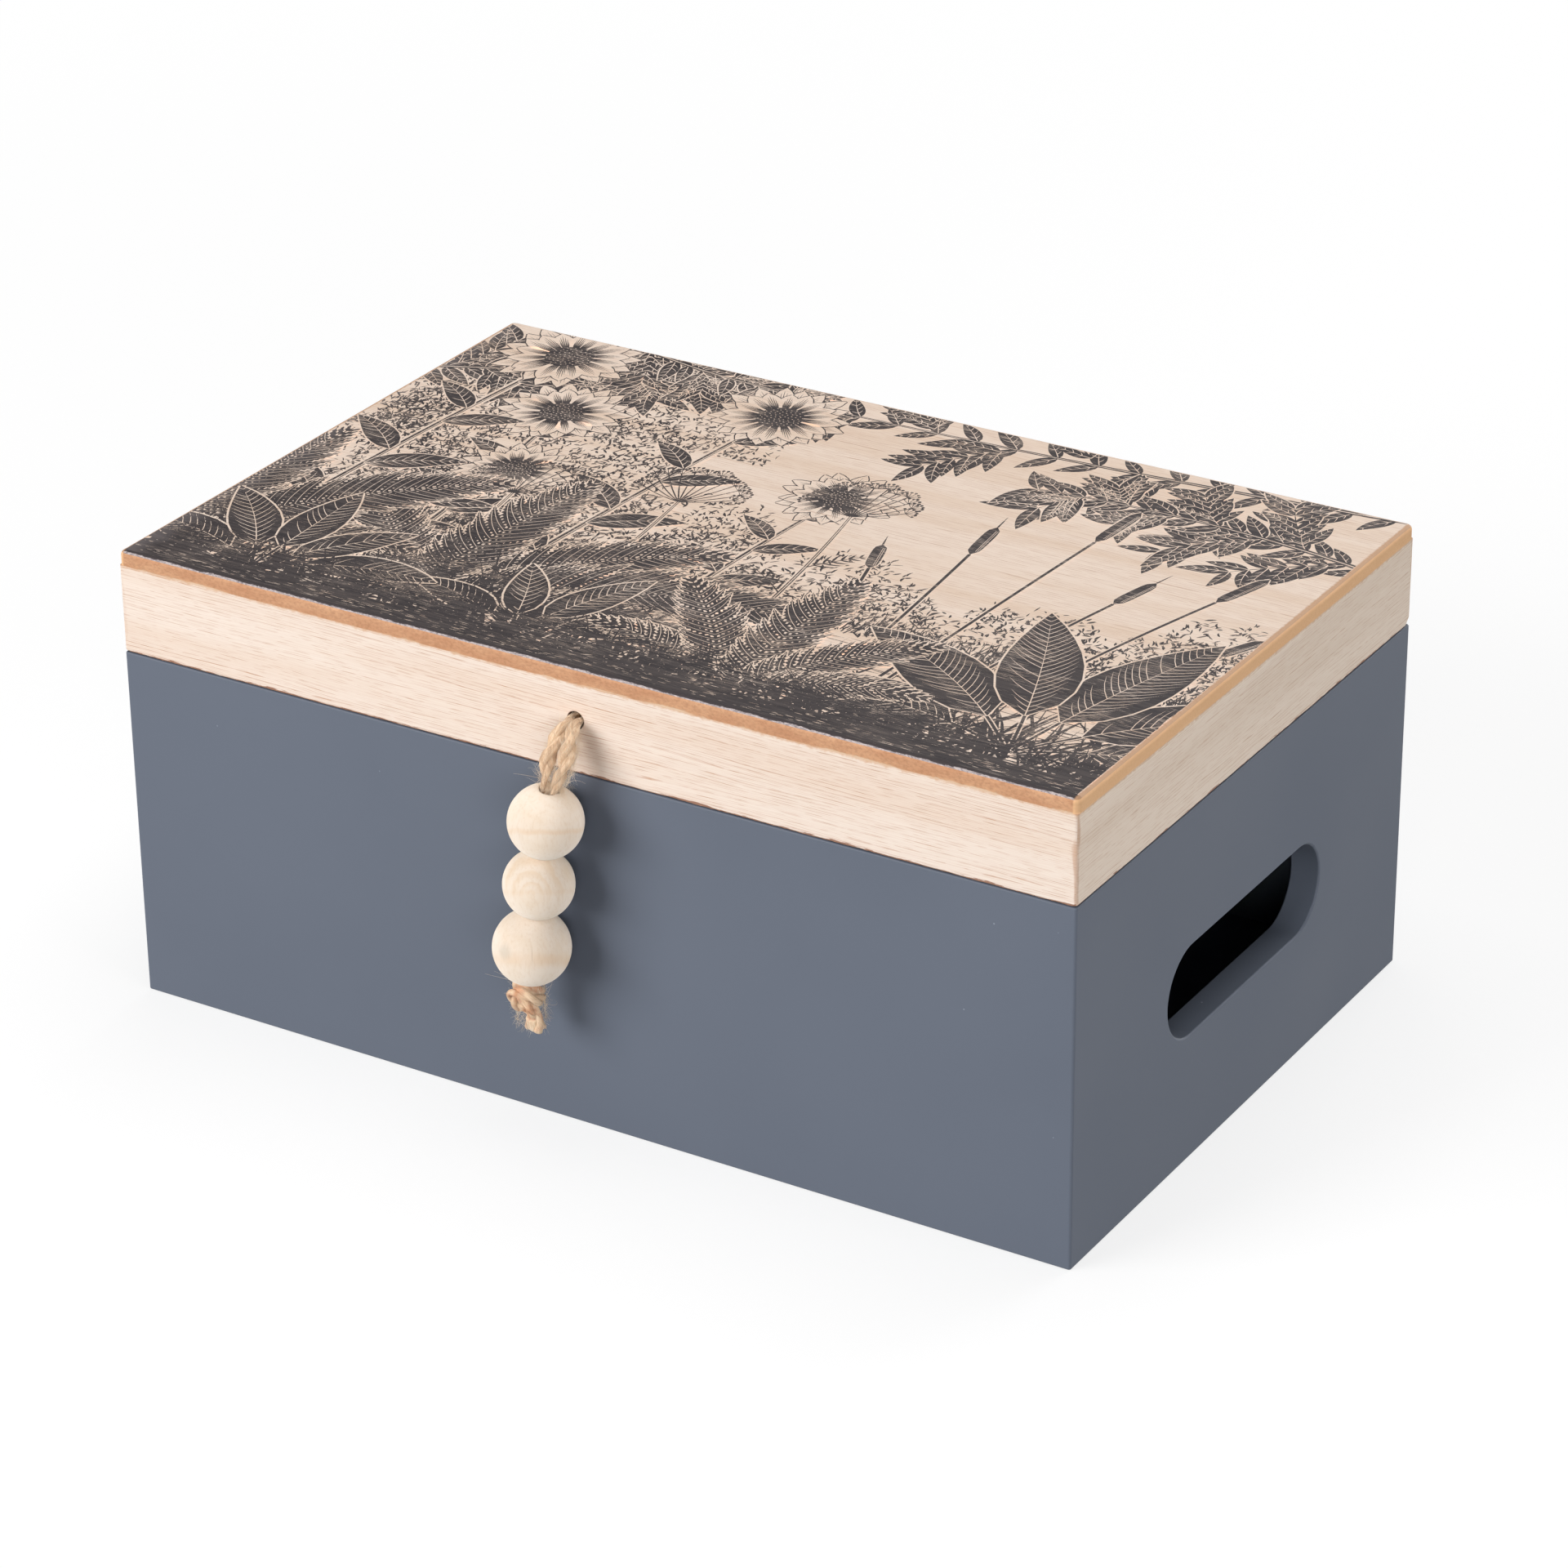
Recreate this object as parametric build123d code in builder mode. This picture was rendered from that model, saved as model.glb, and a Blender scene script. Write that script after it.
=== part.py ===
from build123d import *
from math import cos, pi, radians, sin, sqrt, tan
import os

# A lidded box for papers and keepsakes, in millimetres.
# X runs along the front, Y from front to back and Z up.
# The origin lies under the middle of the box, on the surface that it stands on.

# Case
box_width = 300.0
box_depth = 195.0
case_height = 107.0
wall = 9.0
case_corner = 0.8
case_arris = 0.5
bottom_thickness = 3.0
bottom_rise = 3.0
groove_depth = 4.0
groove_clearance = 0.1
groove_end_clearance = 0.5

# Handle slots in the two ends
slot_length = 90.0
slot_height = 27.3
slot_centre_height = 52.3
slot_arris = 0.6

# Lid
lid_gap = 0.4
rail_height = 26.0
rail_thickness = 9.0
rail_corner = 1.0
rail_arris = 0.5
back_ease = 3.0
board_thickness = 3.8
veneer_thickness = 0.5
top_corner = 2.0
top_arris = 1.4

# Hinges
hinge_end_distance = 55.0
hinge_length = 26.0
hinge_axis_inset = 1.5
barrel_diameter = 3.0
leaf_thickness = 0.7
leaf_reach = 6.8
knuckle_count = 5
knuckle_clearance = 0.12
barrel_clearance = 0.3
pin_diameter = 1.2
pin_running_clearance = 0.05
mortise_clearance = 0.15

# Hinge screws
screw_spacing = 16.0
screw_axis_inset = 3.9
screw_head_diameter = 3.4
screw_head_depth = 0.6
screw_diameter = 2.0
screw_length = 8.0
screw_point = 1.6
screw_clearance = 0.05
pilot_extra_depth = 0.5
recess_width = 0.5
recess_length = 1.9
recess_depth = 0.4

# Pull: a doubled cord through a hole in the lid's front rail, with three beads on it
pull_hole_diameter = 5.2
pull_hole_rise = 15.4
cord_diameter = 2.4
strand_gap = 0.1
cord_stand_out = 0.6
pull_lean = 8.4
bead_diameters = [20.7, 19.6, 21.5]
bead_bore = 6.0
bead_rim_round = 0.4
bead_gap = 0.4
bead_face_clearance = 0.3
top_bead_shift = -3.0
top_bead_drop = 25.8
string_run_in = 3.0
knot_seat_gap = 0.3
end_knot_diameter = 9.8
end_knot_height = 8.0
end_tail_diameter = 6.2
end_tail_length = 5.0
end_tail_shift = 0.9
inner_knot_diameter = 9.4
inner_knot_height = 7.5
inner_tail_diameter = 4.6
inner_tail_length = 5.0
inner_tail_shift = 0.0
knot_round_share = 0.42
tail_round_share = 0.2
arc_share = 0.45

# Working overlap of a cut past the face that it opens
overrun = 1.0

# Sizes that follow
inner_width = box_width - 2 * wall
inner_depth = box_depth - 2 * wall
rail_base = case_height + lid_gap
board_base = rail_base + rail_height
veneer_base = board_base + board_thickness
lid_top = veneer_base + veneer_thickness
pull_hole_height = rail_base + pull_hole_rise
barrel_radius = barrel_diameter / 2
hinge_axis_y = box_depth / 2 - hinge_axis_inset
hinge_axis_z = case_height + lid_gap / 2
hinge_centres = [side * (box_width / 2 - hinge_end_distance) for side in (-1, 1)]
knuckle_length = hinge_length / knuckle_count
screw_axis_y = box_depth / 2 - screw_axis_inset - hinge_axis_inset
screw_centres = [x + side * screw_spacing / 2 for x in hinge_centres for side in (-1, 1)]


def mitred_plan(side, base, thickness, corner):
    """Plan of one side of a mitred frame with the box's outline, as a face at that height."""
    out_x = box_width / 2 + overrun
    out_y = box_depth / 2 + overrun
    in_x = box_width / 2 - thickness - overrun
    in_y = box_depth / 2 - thickness - overrun
    wedges = {
        "front": [(-out_x, -out_y), (out_x, -out_y), (in_x, -in_y), (-in_x, -in_y)],
        "back": [(-out_x, out_y), (out_x, out_y), (in_x, in_y), (-in_x, in_y)],
        "left": [(-out_x, -out_y), (-out_x, out_y), (-in_x, in_y), (-in_x, -in_y)],
        "right": [(out_x, -out_y), (out_x, out_y), (in_x, in_y), (in_x, -in_y)],
    }
    with BuildSketch(Plane.XY.offset(base)) as plan:
        RectangleRounded(box_width, box_depth, corner)
        Rectangle(box_width - 2 * thickness, box_depth - 2 * thickness, mode=Mode.SUBTRACT)
        with BuildLine():
            Polyline(*wedges[side], close=True)
        make_face(mode=Mode.INTERSECT)
    return plan.sketch


def groove_plan():
    """Plan of the groove that holds the bottom panel, at the groove's lower face."""
    with BuildSketch(Plane.XY.offset(bottom_rise - groove_clearance)) as plan:
        Rectangle(inner_width + 2 * groove_depth, inner_depth + 2 * groove_depth)
    return plan.sketch


def outer_arris(piece, side, end):
    """Outer edge of a frame side's top face, or bottom face where end is 0, with its half corners."""
    along, across = (Axis.X, Axis.Y) if side in ("front", "back") else (Axis.Y, Axis.X)
    outermost = 0 if side in ("front", "left") else -1
    edges = piece.faces().sort_by(Axis.Z)[end].edges()
    straight = edges.filter_by(along).sort_by(across)[outermost]
    return edges.filter_by(GeomType.CIRCLE) + [straight]


def back_ease_profile():
    """Section of the slope along the lid's lower back arris, which lets the lid lean back."""
    back = box_depth / 2
    with BuildSketch(Plane.YZ) as profile:
        with BuildLine():
            Polyline(
                (back - back_ease, rail_base),
                (back, rail_base + back_ease),
                (back + overrun, rail_base + back_ease),
                (back + overrun, rail_base - overrun),
                (back - back_ease, rail_base - overrun),
                close=True,
            )
        make_face()
    return profile.sketch


def slot_profile(end_x):
    """Outline of a handle slot on the plane at end_x."""
    with BuildSketch(Plane.YZ.offset(end_x)) as profile:
        with Locations((0, slot_centre_height)):
            SlotOverall(slot_length, slot_height)
    return profile.sketch


def hinge_mortise(face_height, into):
    """Recess for the leaves and barrels in one edge; into is -1 downwards and 1 upwards."""
    barrel_reach = barrel_radius + barrel_clearance
    barrel_depth = barrel_reach - lid_gap / 2
    leaf_front = hinge_axis_y - leaf_reach - mortise_clearance
    barrel_front = hinge_axis_y - barrel_reach
    back = box_depth / 2 + overrun
    long = hinge_length + 2 * mortise_clearance
    cuts = []
    for centre in hinge_centres:
        for front, depth in ((leaf_front, leaf_thickness), (barrel_front, barrel_depth)):
            with BuildPart(Plane.XY.offset(face_height)) as cut:
                with Locations((centre, (front + back) / 2, into * (depth - overrun) / 2)):
                    Box(long, back - front, depth + overrun)
            cuts.append(cut.part)
    return cuts


def screw_profile(centre, face_height, into, clearance, length):
    """Half section of a countersunk screw, or of its hole, on the plane through its axis."""
    section = Plane(
        origin=(centre, screw_axis_y, face_height),
        x_dir=(1, 0, 0),
        z_dir=(0, -into, 0),
    )
    head = screw_head_diameter / 2 + clearance
    shank = screw_diameter / 2 + clearance
    with BuildSketch(section) as profile:
        with BuildLine():
            Polyline(
                (0, 0),
                (head, 0),
                (shank, screw_head_depth),
                (shank, length - screw_point),
                (0, length),
                close=True,
            )
        make_face()
    return profile.sketch


def screw_axis(centre):
    """Vertical axis of the screw at centre."""
    return Axis((centre, screw_axis_y, 0), (0, 0, 1))


# Case panels
with BuildPart() as front_panel:
    extrude(mitred_plan("front", 0, wall, case_corner), amount=case_height)
    fillet(outer_arris(front_panel, "front", -1), case_arris)
    fillet(outer_arris(front_panel, "front", 0), case_arris)
    extrude(groove_plan(), amount=bottom_thickness + 2 * groove_clearance, mode=Mode.SUBTRACT)
front_panel.part.label = "front_panel"

with BuildPart() as back_panel:
    extrude(mitred_plan("back", 0, wall, case_corner), amount=case_height)
    fillet(outer_arris(back_panel, "back", -1), case_arris)
    fillet(outer_arris(back_panel, "back", 0), case_arris)
    extrude(groove_plan(), amount=bottom_thickness + 2 * groove_clearance, mode=Mode.SUBTRACT)
    for recess in hinge_mortise(case_height, -1):
        add(recess, mode=Mode.SUBTRACT)
    for centre in screw_centres:
        pilot = screw_profile(
            centre, case_height, -1, screw_clearance, screw_length + pilot_extra_depth
        )
        revolve(pilot, axis=screw_axis(centre), mode=Mode.SUBTRACT)
back_panel.part.label = "back_panel"

end_panels = []
for side, sign in (("left", -1), ("right", 1)):
    with BuildPart() as end_panel:
        extrude(mitred_plan(side, 0, wall, case_corner), amount=case_height)
        fillet(outer_arris(end_panel, side, -1), case_arris)
        fillet(outer_arris(end_panel, side, 0), case_arris)
        extrude(
            groove_plan(), amount=bottom_thickness + 2 * groove_clearance, mode=Mode.SUBTRACT
        )
        extrude(
            slot_profile(sign * (box_width / 2 + overrun)),
            amount=-sign * (wall + 2 * overrun),
            mode=Mode.SUBTRACT,
        )
        slot_rims = end_panel.edges(Select.LAST).filter_by(Axis.X, reverse=True)
        fillet(slot_rims, slot_arris)
    end_panel.part.label = side + "_panel"
    end_panels.append(end_panel.part)

with BuildPart() as bottom_panel:
    with BuildSketch(Plane.XY.offset(bottom_rise)):
        Rectangle(
            inner_width + 2 * (groove_depth - groove_end_clearance),
            inner_depth + 2 * (groove_depth - groove_end_clearance),
        )
    extrude(amount=bottom_thickness)
bottom_panel.part.label = "bottom_panel"

# Lid rails
with BuildPart() as lid_front_rail:
    extrude(mitred_plan("front", rail_base, rail_thickness, rail_corner), amount=rail_height)
    fillet(outer_arris(lid_front_rail, "front", 0), rail_arris)
    with BuildSketch(Plane.XZ.offset(box_depth / 2 + overrun)):
        with Locations((0, pull_hole_height)):
            Circle(pull_hole_diameter / 2)
    extrude(amount=-(rail_thickness + 2 * overrun), mode=Mode.SUBTRACT)
lid_front_rail.part.label = "lid_front_rail"

with BuildPart() as lid_back_rail:
    extrude(mitred_plan("back", rail_base, rail_thickness, rail_corner), amount=rail_height)
    extrude(back_ease_profile(), amount=box_width, both=True, mode=Mode.SUBTRACT)
    for recess in hinge_mortise(rail_base, 1):
        add(recess, mode=Mode.SUBTRACT)
    for centre in screw_centres:
        pilot = screw_profile(
            centre, rail_base, 1, screw_clearance, screw_length + pilot_extra_depth
        )
        revolve(pilot, axis=screw_axis(centre), mode=Mode.SUBTRACT)
lid_back_rail.part.label = "lid_back_rail"

lid_end_rails = []
for side in ("left", "right"):
    with BuildPart() as lid_end_rail:
        extrude(mitred_plan(side, rail_base, rail_thickness, rail_corner), amount=rail_height)
        fillet(outer_arris(lid_end_rail, side, 0), rail_arris)
        extrude(back_ease_profile(), amount=box_width, both=True, mode=Mode.SUBTRACT)
    lid_end_rail.part.label = "lid_" + side + "_rail"
    lid_end_rails.append(lid_end_rail.part)


# Lid top: a board and the printed veneer on it, sanded to one rounded arris
def lid_top_layer(label, keep):
    """The board under the veneer line, or the veneer above it."""
    with BuildPart() as layer:
        with BuildSketch(Plane.XY.offset(board_base)):
            RectangleRounded(box_width, box_depth, top_corner)
        extrude(amount=board_thickness + veneer_thickness)
        fillet(layer.faces().sort_by(Axis.Z)[-1].edges(), top_arris)
        split(bisect_by=Plane.XY.offset(veneer_base), keep=keep)
    layer.part.label = label
    return layer.part


lid_board = lid_top_layer("lid_board", Keep.BOTTOM)
lid_veneer = lid_top_layer("lid_veneer", Keep.TOP)


# Hinges
def hinge_leaf(centre, into, label):
    """One leaf with its share of the knuckles; into is -1 for the case and 1 for the lid."""
    start = centre - hinge_length / 2
    first_foreign = 1 if into < 0 else 0
    leaf_height = hinge_axis_z + into * (lid_gap + leaf_thickness) / 2
    with BuildPart() as leaf:
        with BuildSketch(Plane.YZ.offset(start)):
            with Locations((hinge_axis_y, hinge_axis_z)):
                Circle(barrel_radius)
            with Locations((hinge_axis_y - leaf_reach / 2, leaf_height)):
                Rectangle(leaf_reach, leaf_thickness)
        extrude(amount=hinge_length)
        for index in range(first_foreign, knuckle_count, 2):
            with BuildSketch(
                Plane.YZ.offset(start + index * knuckle_length - knuckle_clearance)
            ):
                with Locations((hinge_axis_y, hinge_axis_z)):
                    Circle(barrel_radius + barrel_clearance)
            extrude(amount=knuckle_length + 2 * knuckle_clearance, mode=Mode.SUBTRACT)
        with BuildSketch(Plane.YZ.offset(start - overrun)):
            with Locations((hinge_axis_y, hinge_axis_z)):
                Circle(pin_diameter / 2 + pin_running_clearance)
        extrude(amount=hinge_length + 2 * overrun, mode=Mode.SUBTRACT)
        for side in (-1, 1):
            hole = screw_profile(
                centre + side * screw_spacing / 2,
                hinge_axis_z + into * lid_gap / 2,
                into,
                screw_clearance,
                screw_length,
            )
            revolve(
                hole, axis=screw_axis(centre + side * screw_spacing / 2), mode=Mode.SUBTRACT
            )
    leaf.part.label = label
    return leaf.part


def hinge_pin(centre, label):
    """The pin on which both leaves' knuckles turn."""
    with BuildPart() as pin:
        with BuildSketch(Plane.YZ.offset(centre - hinge_length / 2)):
            with Locations((hinge_axis_y, hinge_axis_z)):
                Circle(pin_diameter / 2)
        extrude(amount=hinge_length)
    pin.part.label = label
    return pin.part


hinge_parts = []
for side, centre in zip(("left", "right"), hinge_centres):
    hinge_parts.append(hinge_leaf(centre, -1, side + "_hinge_case_leaf"))
    hinge_parts.append(hinge_leaf(centre, 1, side + "_hinge_lid_leaf"))
    hinge_parts.append(hinge_pin(centre, side + "_hinge_pin"))


def hinge_screws(face_height, into, label):
    """The four screws of the two leaves on one side of the gap, with crossed recesses."""
    with BuildPart() as screws:
        for centre in screw_centres:
            profile = screw_profile(centre, face_height, into, 0, screw_length)
            revolve(profile, axis=screw_axis(centre))
            with Locations((centre, screw_axis_y, face_height)):
                Box(recess_length, recess_width, 2 * recess_depth, mode=Mode.SUBTRACT)
                Box(recess_width, recess_length, 2 * recess_depth, mode=Mode.SUBTRACT)
    screws.part.label = label
    return screws.part


case_hinge_screws = hinge_screws(case_height, -1, "case_hinge_screws")
lid_hinge_screws = hinge_screws(rail_base, 1, "lid_hinge_screws")

# Pull: the line on which the beads hang, parallel to the front and leaning to the left
string_up = Vector(sin(radians(pull_lean)), 0, cos(radians(pull_lean)))
string_side = Vector(cos(radians(pull_lean)), 0, -sin(radians(pull_lean)))
bead_radii = [diameter / 2 for diameter in bead_diameters]
bead_halves = [sqrt(radius**2 - (bead_bore / 2) ** 2) for radius in bead_radii]
front_face_y = -box_depth / 2
string_y = front_face_y - max(bead_radii) - bead_face_clearance
bead_centres = [Vector(top_bead_shift, string_y, pull_hole_height - top_bead_drop)]
for above, below in zip(bead_halves, bead_halves[1:]):
    bead_centres.append(bead_centres[-1] - string_up * (above + bead_gap + below))
string_top = bead_centres[0] + string_up * bead_halves[0]
knot_seat = bead_centres[-1] - string_up * (bead_halves[-1] + knot_seat_gap)
cord_mouth = Vector(0, front_face_y - cord_stand_out, pull_hole_height)
inner_knot_seat = Vector(0, front_face_y + rail_thickness + knot_seat_gap, pull_hole_height)

beads = []
for name, centre, radius in zip(("top", "middle", "bottom"), bead_centres, bead_radii):
    with BuildPart(Plane(origin=centre, x_dir=string_side, z_dir=string_up)) as bead:
        Sphere(radius)
        Hole(bead_bore / 2)
        rims = bead.edges().filter_by(GeomType.CIRCLE).group_by(SortBy.RADIUS)[0]
        fillet(rims, bead_rim_round)
    bead.part.label = name + "_bead"
    beads.append(bead.part)

# Middle line of the doubled cord from the hole's mouth to the top bead, chosen by hand
drop_route = [
    cord_mouth,
    cord_mouth + Vector(0, -3.0, 0),
    cord_mouth + Vector(-0.4, -6.0, -4.2),
    cord_mouth + Vector(-0.9, -9.1, -9.2),
    string_top + string_up * string_run_in,
    string_top,
]


def strand_route(middle_route, side):
    """The route of one of the two strands that lie side by side along middle_route."""
    offset = string_side * (side * (cord_diameter + strand_gap) / 2)
    return [point + offset for point in middle_route]


def arc_radii(route):
    """Radius of each corner's arc, as large as its two runs allow."""
    radii = []
    for before, corner, after in zip(route, route[1:], route[2:]):
        run_in = corner - before
        run_out = after - corner
        half_turn = radians(run_in.get_angle(run_out)) / 2
        radii.append(arc_share * min(run_in.length, run_out.length) / tan(half_turn))
    return radii


with BuildPart() as pull_cord_drop:
    for side in (-1, 1):
        route = strand_route(drop_route, side)
        radii = arc_radii(route)
        print("cord arc radii:", [round(radius, 2) for radius in radii])
        with BuildLine() as drop_path:
            FilletPolyline(*route, radius=radii)
        with BuildSketch(Plane(origin=drop_path.line @ 0, z_dir=drop_path.line % 0)):
            Circle(cord_diameter / 2)
        sweep()
        print("cord drop length:", round(drop_path.wires()[0].length, 2))
pull_cord_drop.part.label = "pull_cord_drop"
drop_section = pi * cord_diameter**2 / 4
print("drop volume over its section:", round(pull_cord_drop.part.volume / drop_section, 2))


def straight_strands(start, direction, length, label):
    """The two strands side by side along a straight stretch."""
    with BuildPart() as strands:
        with BuildSketch(Plane(origin=start, x_dir=string_side, z_dir=direction)):
            with Locations(
                (-(cord_diameter + strand_gap) / 2, 0), ((cord_diameter + strand_gap) / 2, 0)
            ):
                Circle(cord_diameter / 2)
        extrude(amount=length)
    strands.part.label = label
    return strands.part


rail_stretch = (inner_knot_seat - cord_mouth).length
bead_stretch = (knot_seat - string_top).length
pull_cord_in_rail = straight_strands(
    cord_mouth, Vector(0, 1, 0), rail_stretch, "pull_cord_in_rail"
)
pull_cord_in_beads = straight_strands(
    string_top, string_up * -1, bead_stretch, "pull_cord_in_beads"
)
print("cord through the rail:", round(rail_stretch, 2), "through the beads:", round(bead_stretch, 2))


def cord_knot(seat, direction, size, height, tail_size, tail_length, tail_shift, label):
    """A drawn-up knot that starts at seat, with its cut tail beyond it."""
    rounding = knot_round_share * height
    tail_rounding = tail_round_share * tail_size
    with BuildPart(Plane(origin=seat, x_dir=string_side, z_dir=direction)) as knot:
        Cylinder(size / 2, height, align=(Align.CENTER, Align.CENTER, Align.MIN))
        fillet(knot.edges().filter_by(GeomType.CIRCLE), rounding)
        with Locations((tail_shift, 0, height / 2)):
            Cylinder(
                tail_size / 2,
                height / 2 + tail_length,
                align=(Align.CENTER, Align.CENTER, Align.MIN),
            )
        tip = knot.faces().filter_by(GeomType.PLANE).sort_by(Axis(seat, direction))[-1]
        fillet(tip.edges(), tail_rounding)
    knot.part.label = label
    return knot.part


end_knot = cord_knot(
    knot_seat,
    string_up * -1,
    end_knot_diameter,
    end_knot_height,
    end_tail_diameter,
    end_tail_length,
    end_tail_shift,
    "end_knot",
)
inner_knot = cord_knot(
    inner_knot_seat,
    Vector(0, 1, 0),
    inner_knot_diameter,
    inner_knot_height,
    inner_tail_diameter,
    inner_tail_length,
    inner_tail_shift,
    "inner_knot",
)

# One file for each piece
pieces = [
    front_panel.part,
    back_panel.part,
    *end_panels,
    bottom_panel.part,
    lid_front_rail.part,
    lid_back_rail.part,
    *lid_end_rails,
    lid_board,
    lid_veneer,
    *hinge_parts,
    case_hinge_screws,
    lid_hinge_screws,
    *beads,
    pull_cord_in_rail,
    pull_cord_drop.part,
    pull_cord_in_beads,
    end_knot,
    inner_knot,
]
os.makedirs("parts", exist_ok=True)
for piece in pieces:
    export_step(piece, "parts/" + piece.label + ".step")
print("pieces:", len(pieces), "height:", lid_top)
for name, centre in zip(("top", "middle", "bottom"), bead_centres):
    print(name, "bead centre:", [round(value, 2) for value in (centre.X, centre.Y, centre.Z)])
print("pull: mouth", cord_mouth, "string up", string_up)
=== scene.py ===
from math import atan2, cos, log, pi, radians, sin, sqrt, tau
from random import Random

import bmesh
import bpy
from mathutils import Matrix, Quaternion, Vector, noise


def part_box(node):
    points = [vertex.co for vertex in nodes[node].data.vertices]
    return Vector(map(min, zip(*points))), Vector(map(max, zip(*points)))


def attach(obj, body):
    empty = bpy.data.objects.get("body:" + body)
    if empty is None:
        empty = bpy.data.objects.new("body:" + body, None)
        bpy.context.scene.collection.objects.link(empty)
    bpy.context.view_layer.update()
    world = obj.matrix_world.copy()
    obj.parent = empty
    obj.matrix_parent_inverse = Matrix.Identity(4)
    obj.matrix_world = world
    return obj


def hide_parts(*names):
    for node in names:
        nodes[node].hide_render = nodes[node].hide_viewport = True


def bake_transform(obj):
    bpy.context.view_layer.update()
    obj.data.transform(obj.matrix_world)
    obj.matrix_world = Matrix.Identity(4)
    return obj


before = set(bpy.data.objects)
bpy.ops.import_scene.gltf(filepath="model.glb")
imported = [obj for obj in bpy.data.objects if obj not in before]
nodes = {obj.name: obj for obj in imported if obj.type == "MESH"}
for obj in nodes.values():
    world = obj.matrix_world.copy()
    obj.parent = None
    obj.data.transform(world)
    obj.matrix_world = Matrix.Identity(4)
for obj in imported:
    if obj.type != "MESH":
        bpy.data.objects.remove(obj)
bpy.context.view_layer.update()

# A lidded box for papers and keepsakes, in metres, in the frame's own axes:
# X runs along the front, Y from front to back and Z up, from the surface it stands on.
mm = 0.001

rail_low, rail_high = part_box("lid_front_rail")
board_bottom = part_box("lid_board")[0].z
half_width, half_depth, lid_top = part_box("lid_veneer")[1]

# The pull's line, as the CAD has it: the cord's mouth, the hanging line and the beads' middles
cord_mouth = Vector((0, -98.1, 122.8)) * mm
hole_radius = 2.6 * mm
rail_inside = Vector((0, -88.2, 122.8)) * mm
string_lean = radians(8.4)
string_up = Vector((sin(string_lean), 0, cos(string_lean)))
string_side = Vector((cos(string_lean), 0, -sin(string_lean)))
toward_front = Vector((0, -1, 0))
bead_names = ("top_bead", "middle_bead", "bottom_bead")
bead_centres = [sum(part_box(name), Vector()) / 2 for name in bead_names]
string_top = Vector((-1.553, -108.55, 106.80)) * mm
knot_seat = Vector((-10.352, -108.55, 47.23)) * mm
cord_diameter = 2.4 * mm
strand_offset = string_side * (cord_diameter + 0.1 * mm) / 2


def as_shaded(colour):
    """A colour with red, green and blue from 0 to 255 as the shaders take it; an output stays as it is."""
    if not isinstance(colour, tuple):
        return colour
    values = [value / 255 for value in colour]
    return tuple(
        value / 12.92 if value <= 0.04045 else ((value + 0.055) / 1.055) ** 2.4 for value in values
    ) + (1.0,)


class Field:
    """A number that varies over a surface: arithmetic on it adds nodes to its material."""

    def __init__(self, finish, output):
        self.finish = finish
        self.output = output

    def __add__(self, other):
        return self.finish.math("ADD", self, other)

    def __sub__(self, other):
        return self.finish.math("SUBTRACT", self, other)

    def __rsub__(self, other):
        return self.finish.math("SUBTRACT", other, self)

    def __mul__(self, other):
        return self.finish.math("MULTIPLY", self, other)

    def __abs__(self):
        return self.finish.math("ABSOLUTE", self)

    def from_line(self):
        """How far the number is from the middle between two whole ones."""
        return abs(self.finish.math("FRACT", self) - 0.5)

    def ramp(self, low, high, to_low=0.0, to_high=1.0):
        """A smooth step as the number goes from low to high."""
        values = {"Value": self, "From Min": low, "From Max": high, "To Min": to_low, "To Max": to_high}
        node = self.finish.add("ShaderNodeMapRange", values, interpolation_type="SMOOTHSTEP", clamp=True)
        return Field(self.finish, node.outputs[0])


class Nodes:
    """The node tree of a material or of the surroundings."""

    def __init__(self, owner):
        self.owner = owner
        owner.use_nodes = True
        owner.node_tree.nodes.clear()

    def add(self, kind, values=None, **settings):
        """Adds a node; a value that is another node's output is linked."""
        tree = self.owner.node_tree
        node = tree.nodes.new(kind)
        for name, value in settings.items():
            setattr(node, name, value)
        for socket, value in (values or {}).items():
            if isinstance(value, Field):
                value = value.output
            if isinstance(value, bpy.types.NodeSocket):
                tree.links.new(value, node.inputs[socket])
            else:
                node.inputs[socket].default_value = value
        return node

    def math(self, operation, *values):
        """A number that a math node works out."""
        node = self.add("ShaderNodeMath", dict(enumerate(values)), operation=operation)
        return Field(self, node.outputs[0])


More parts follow.
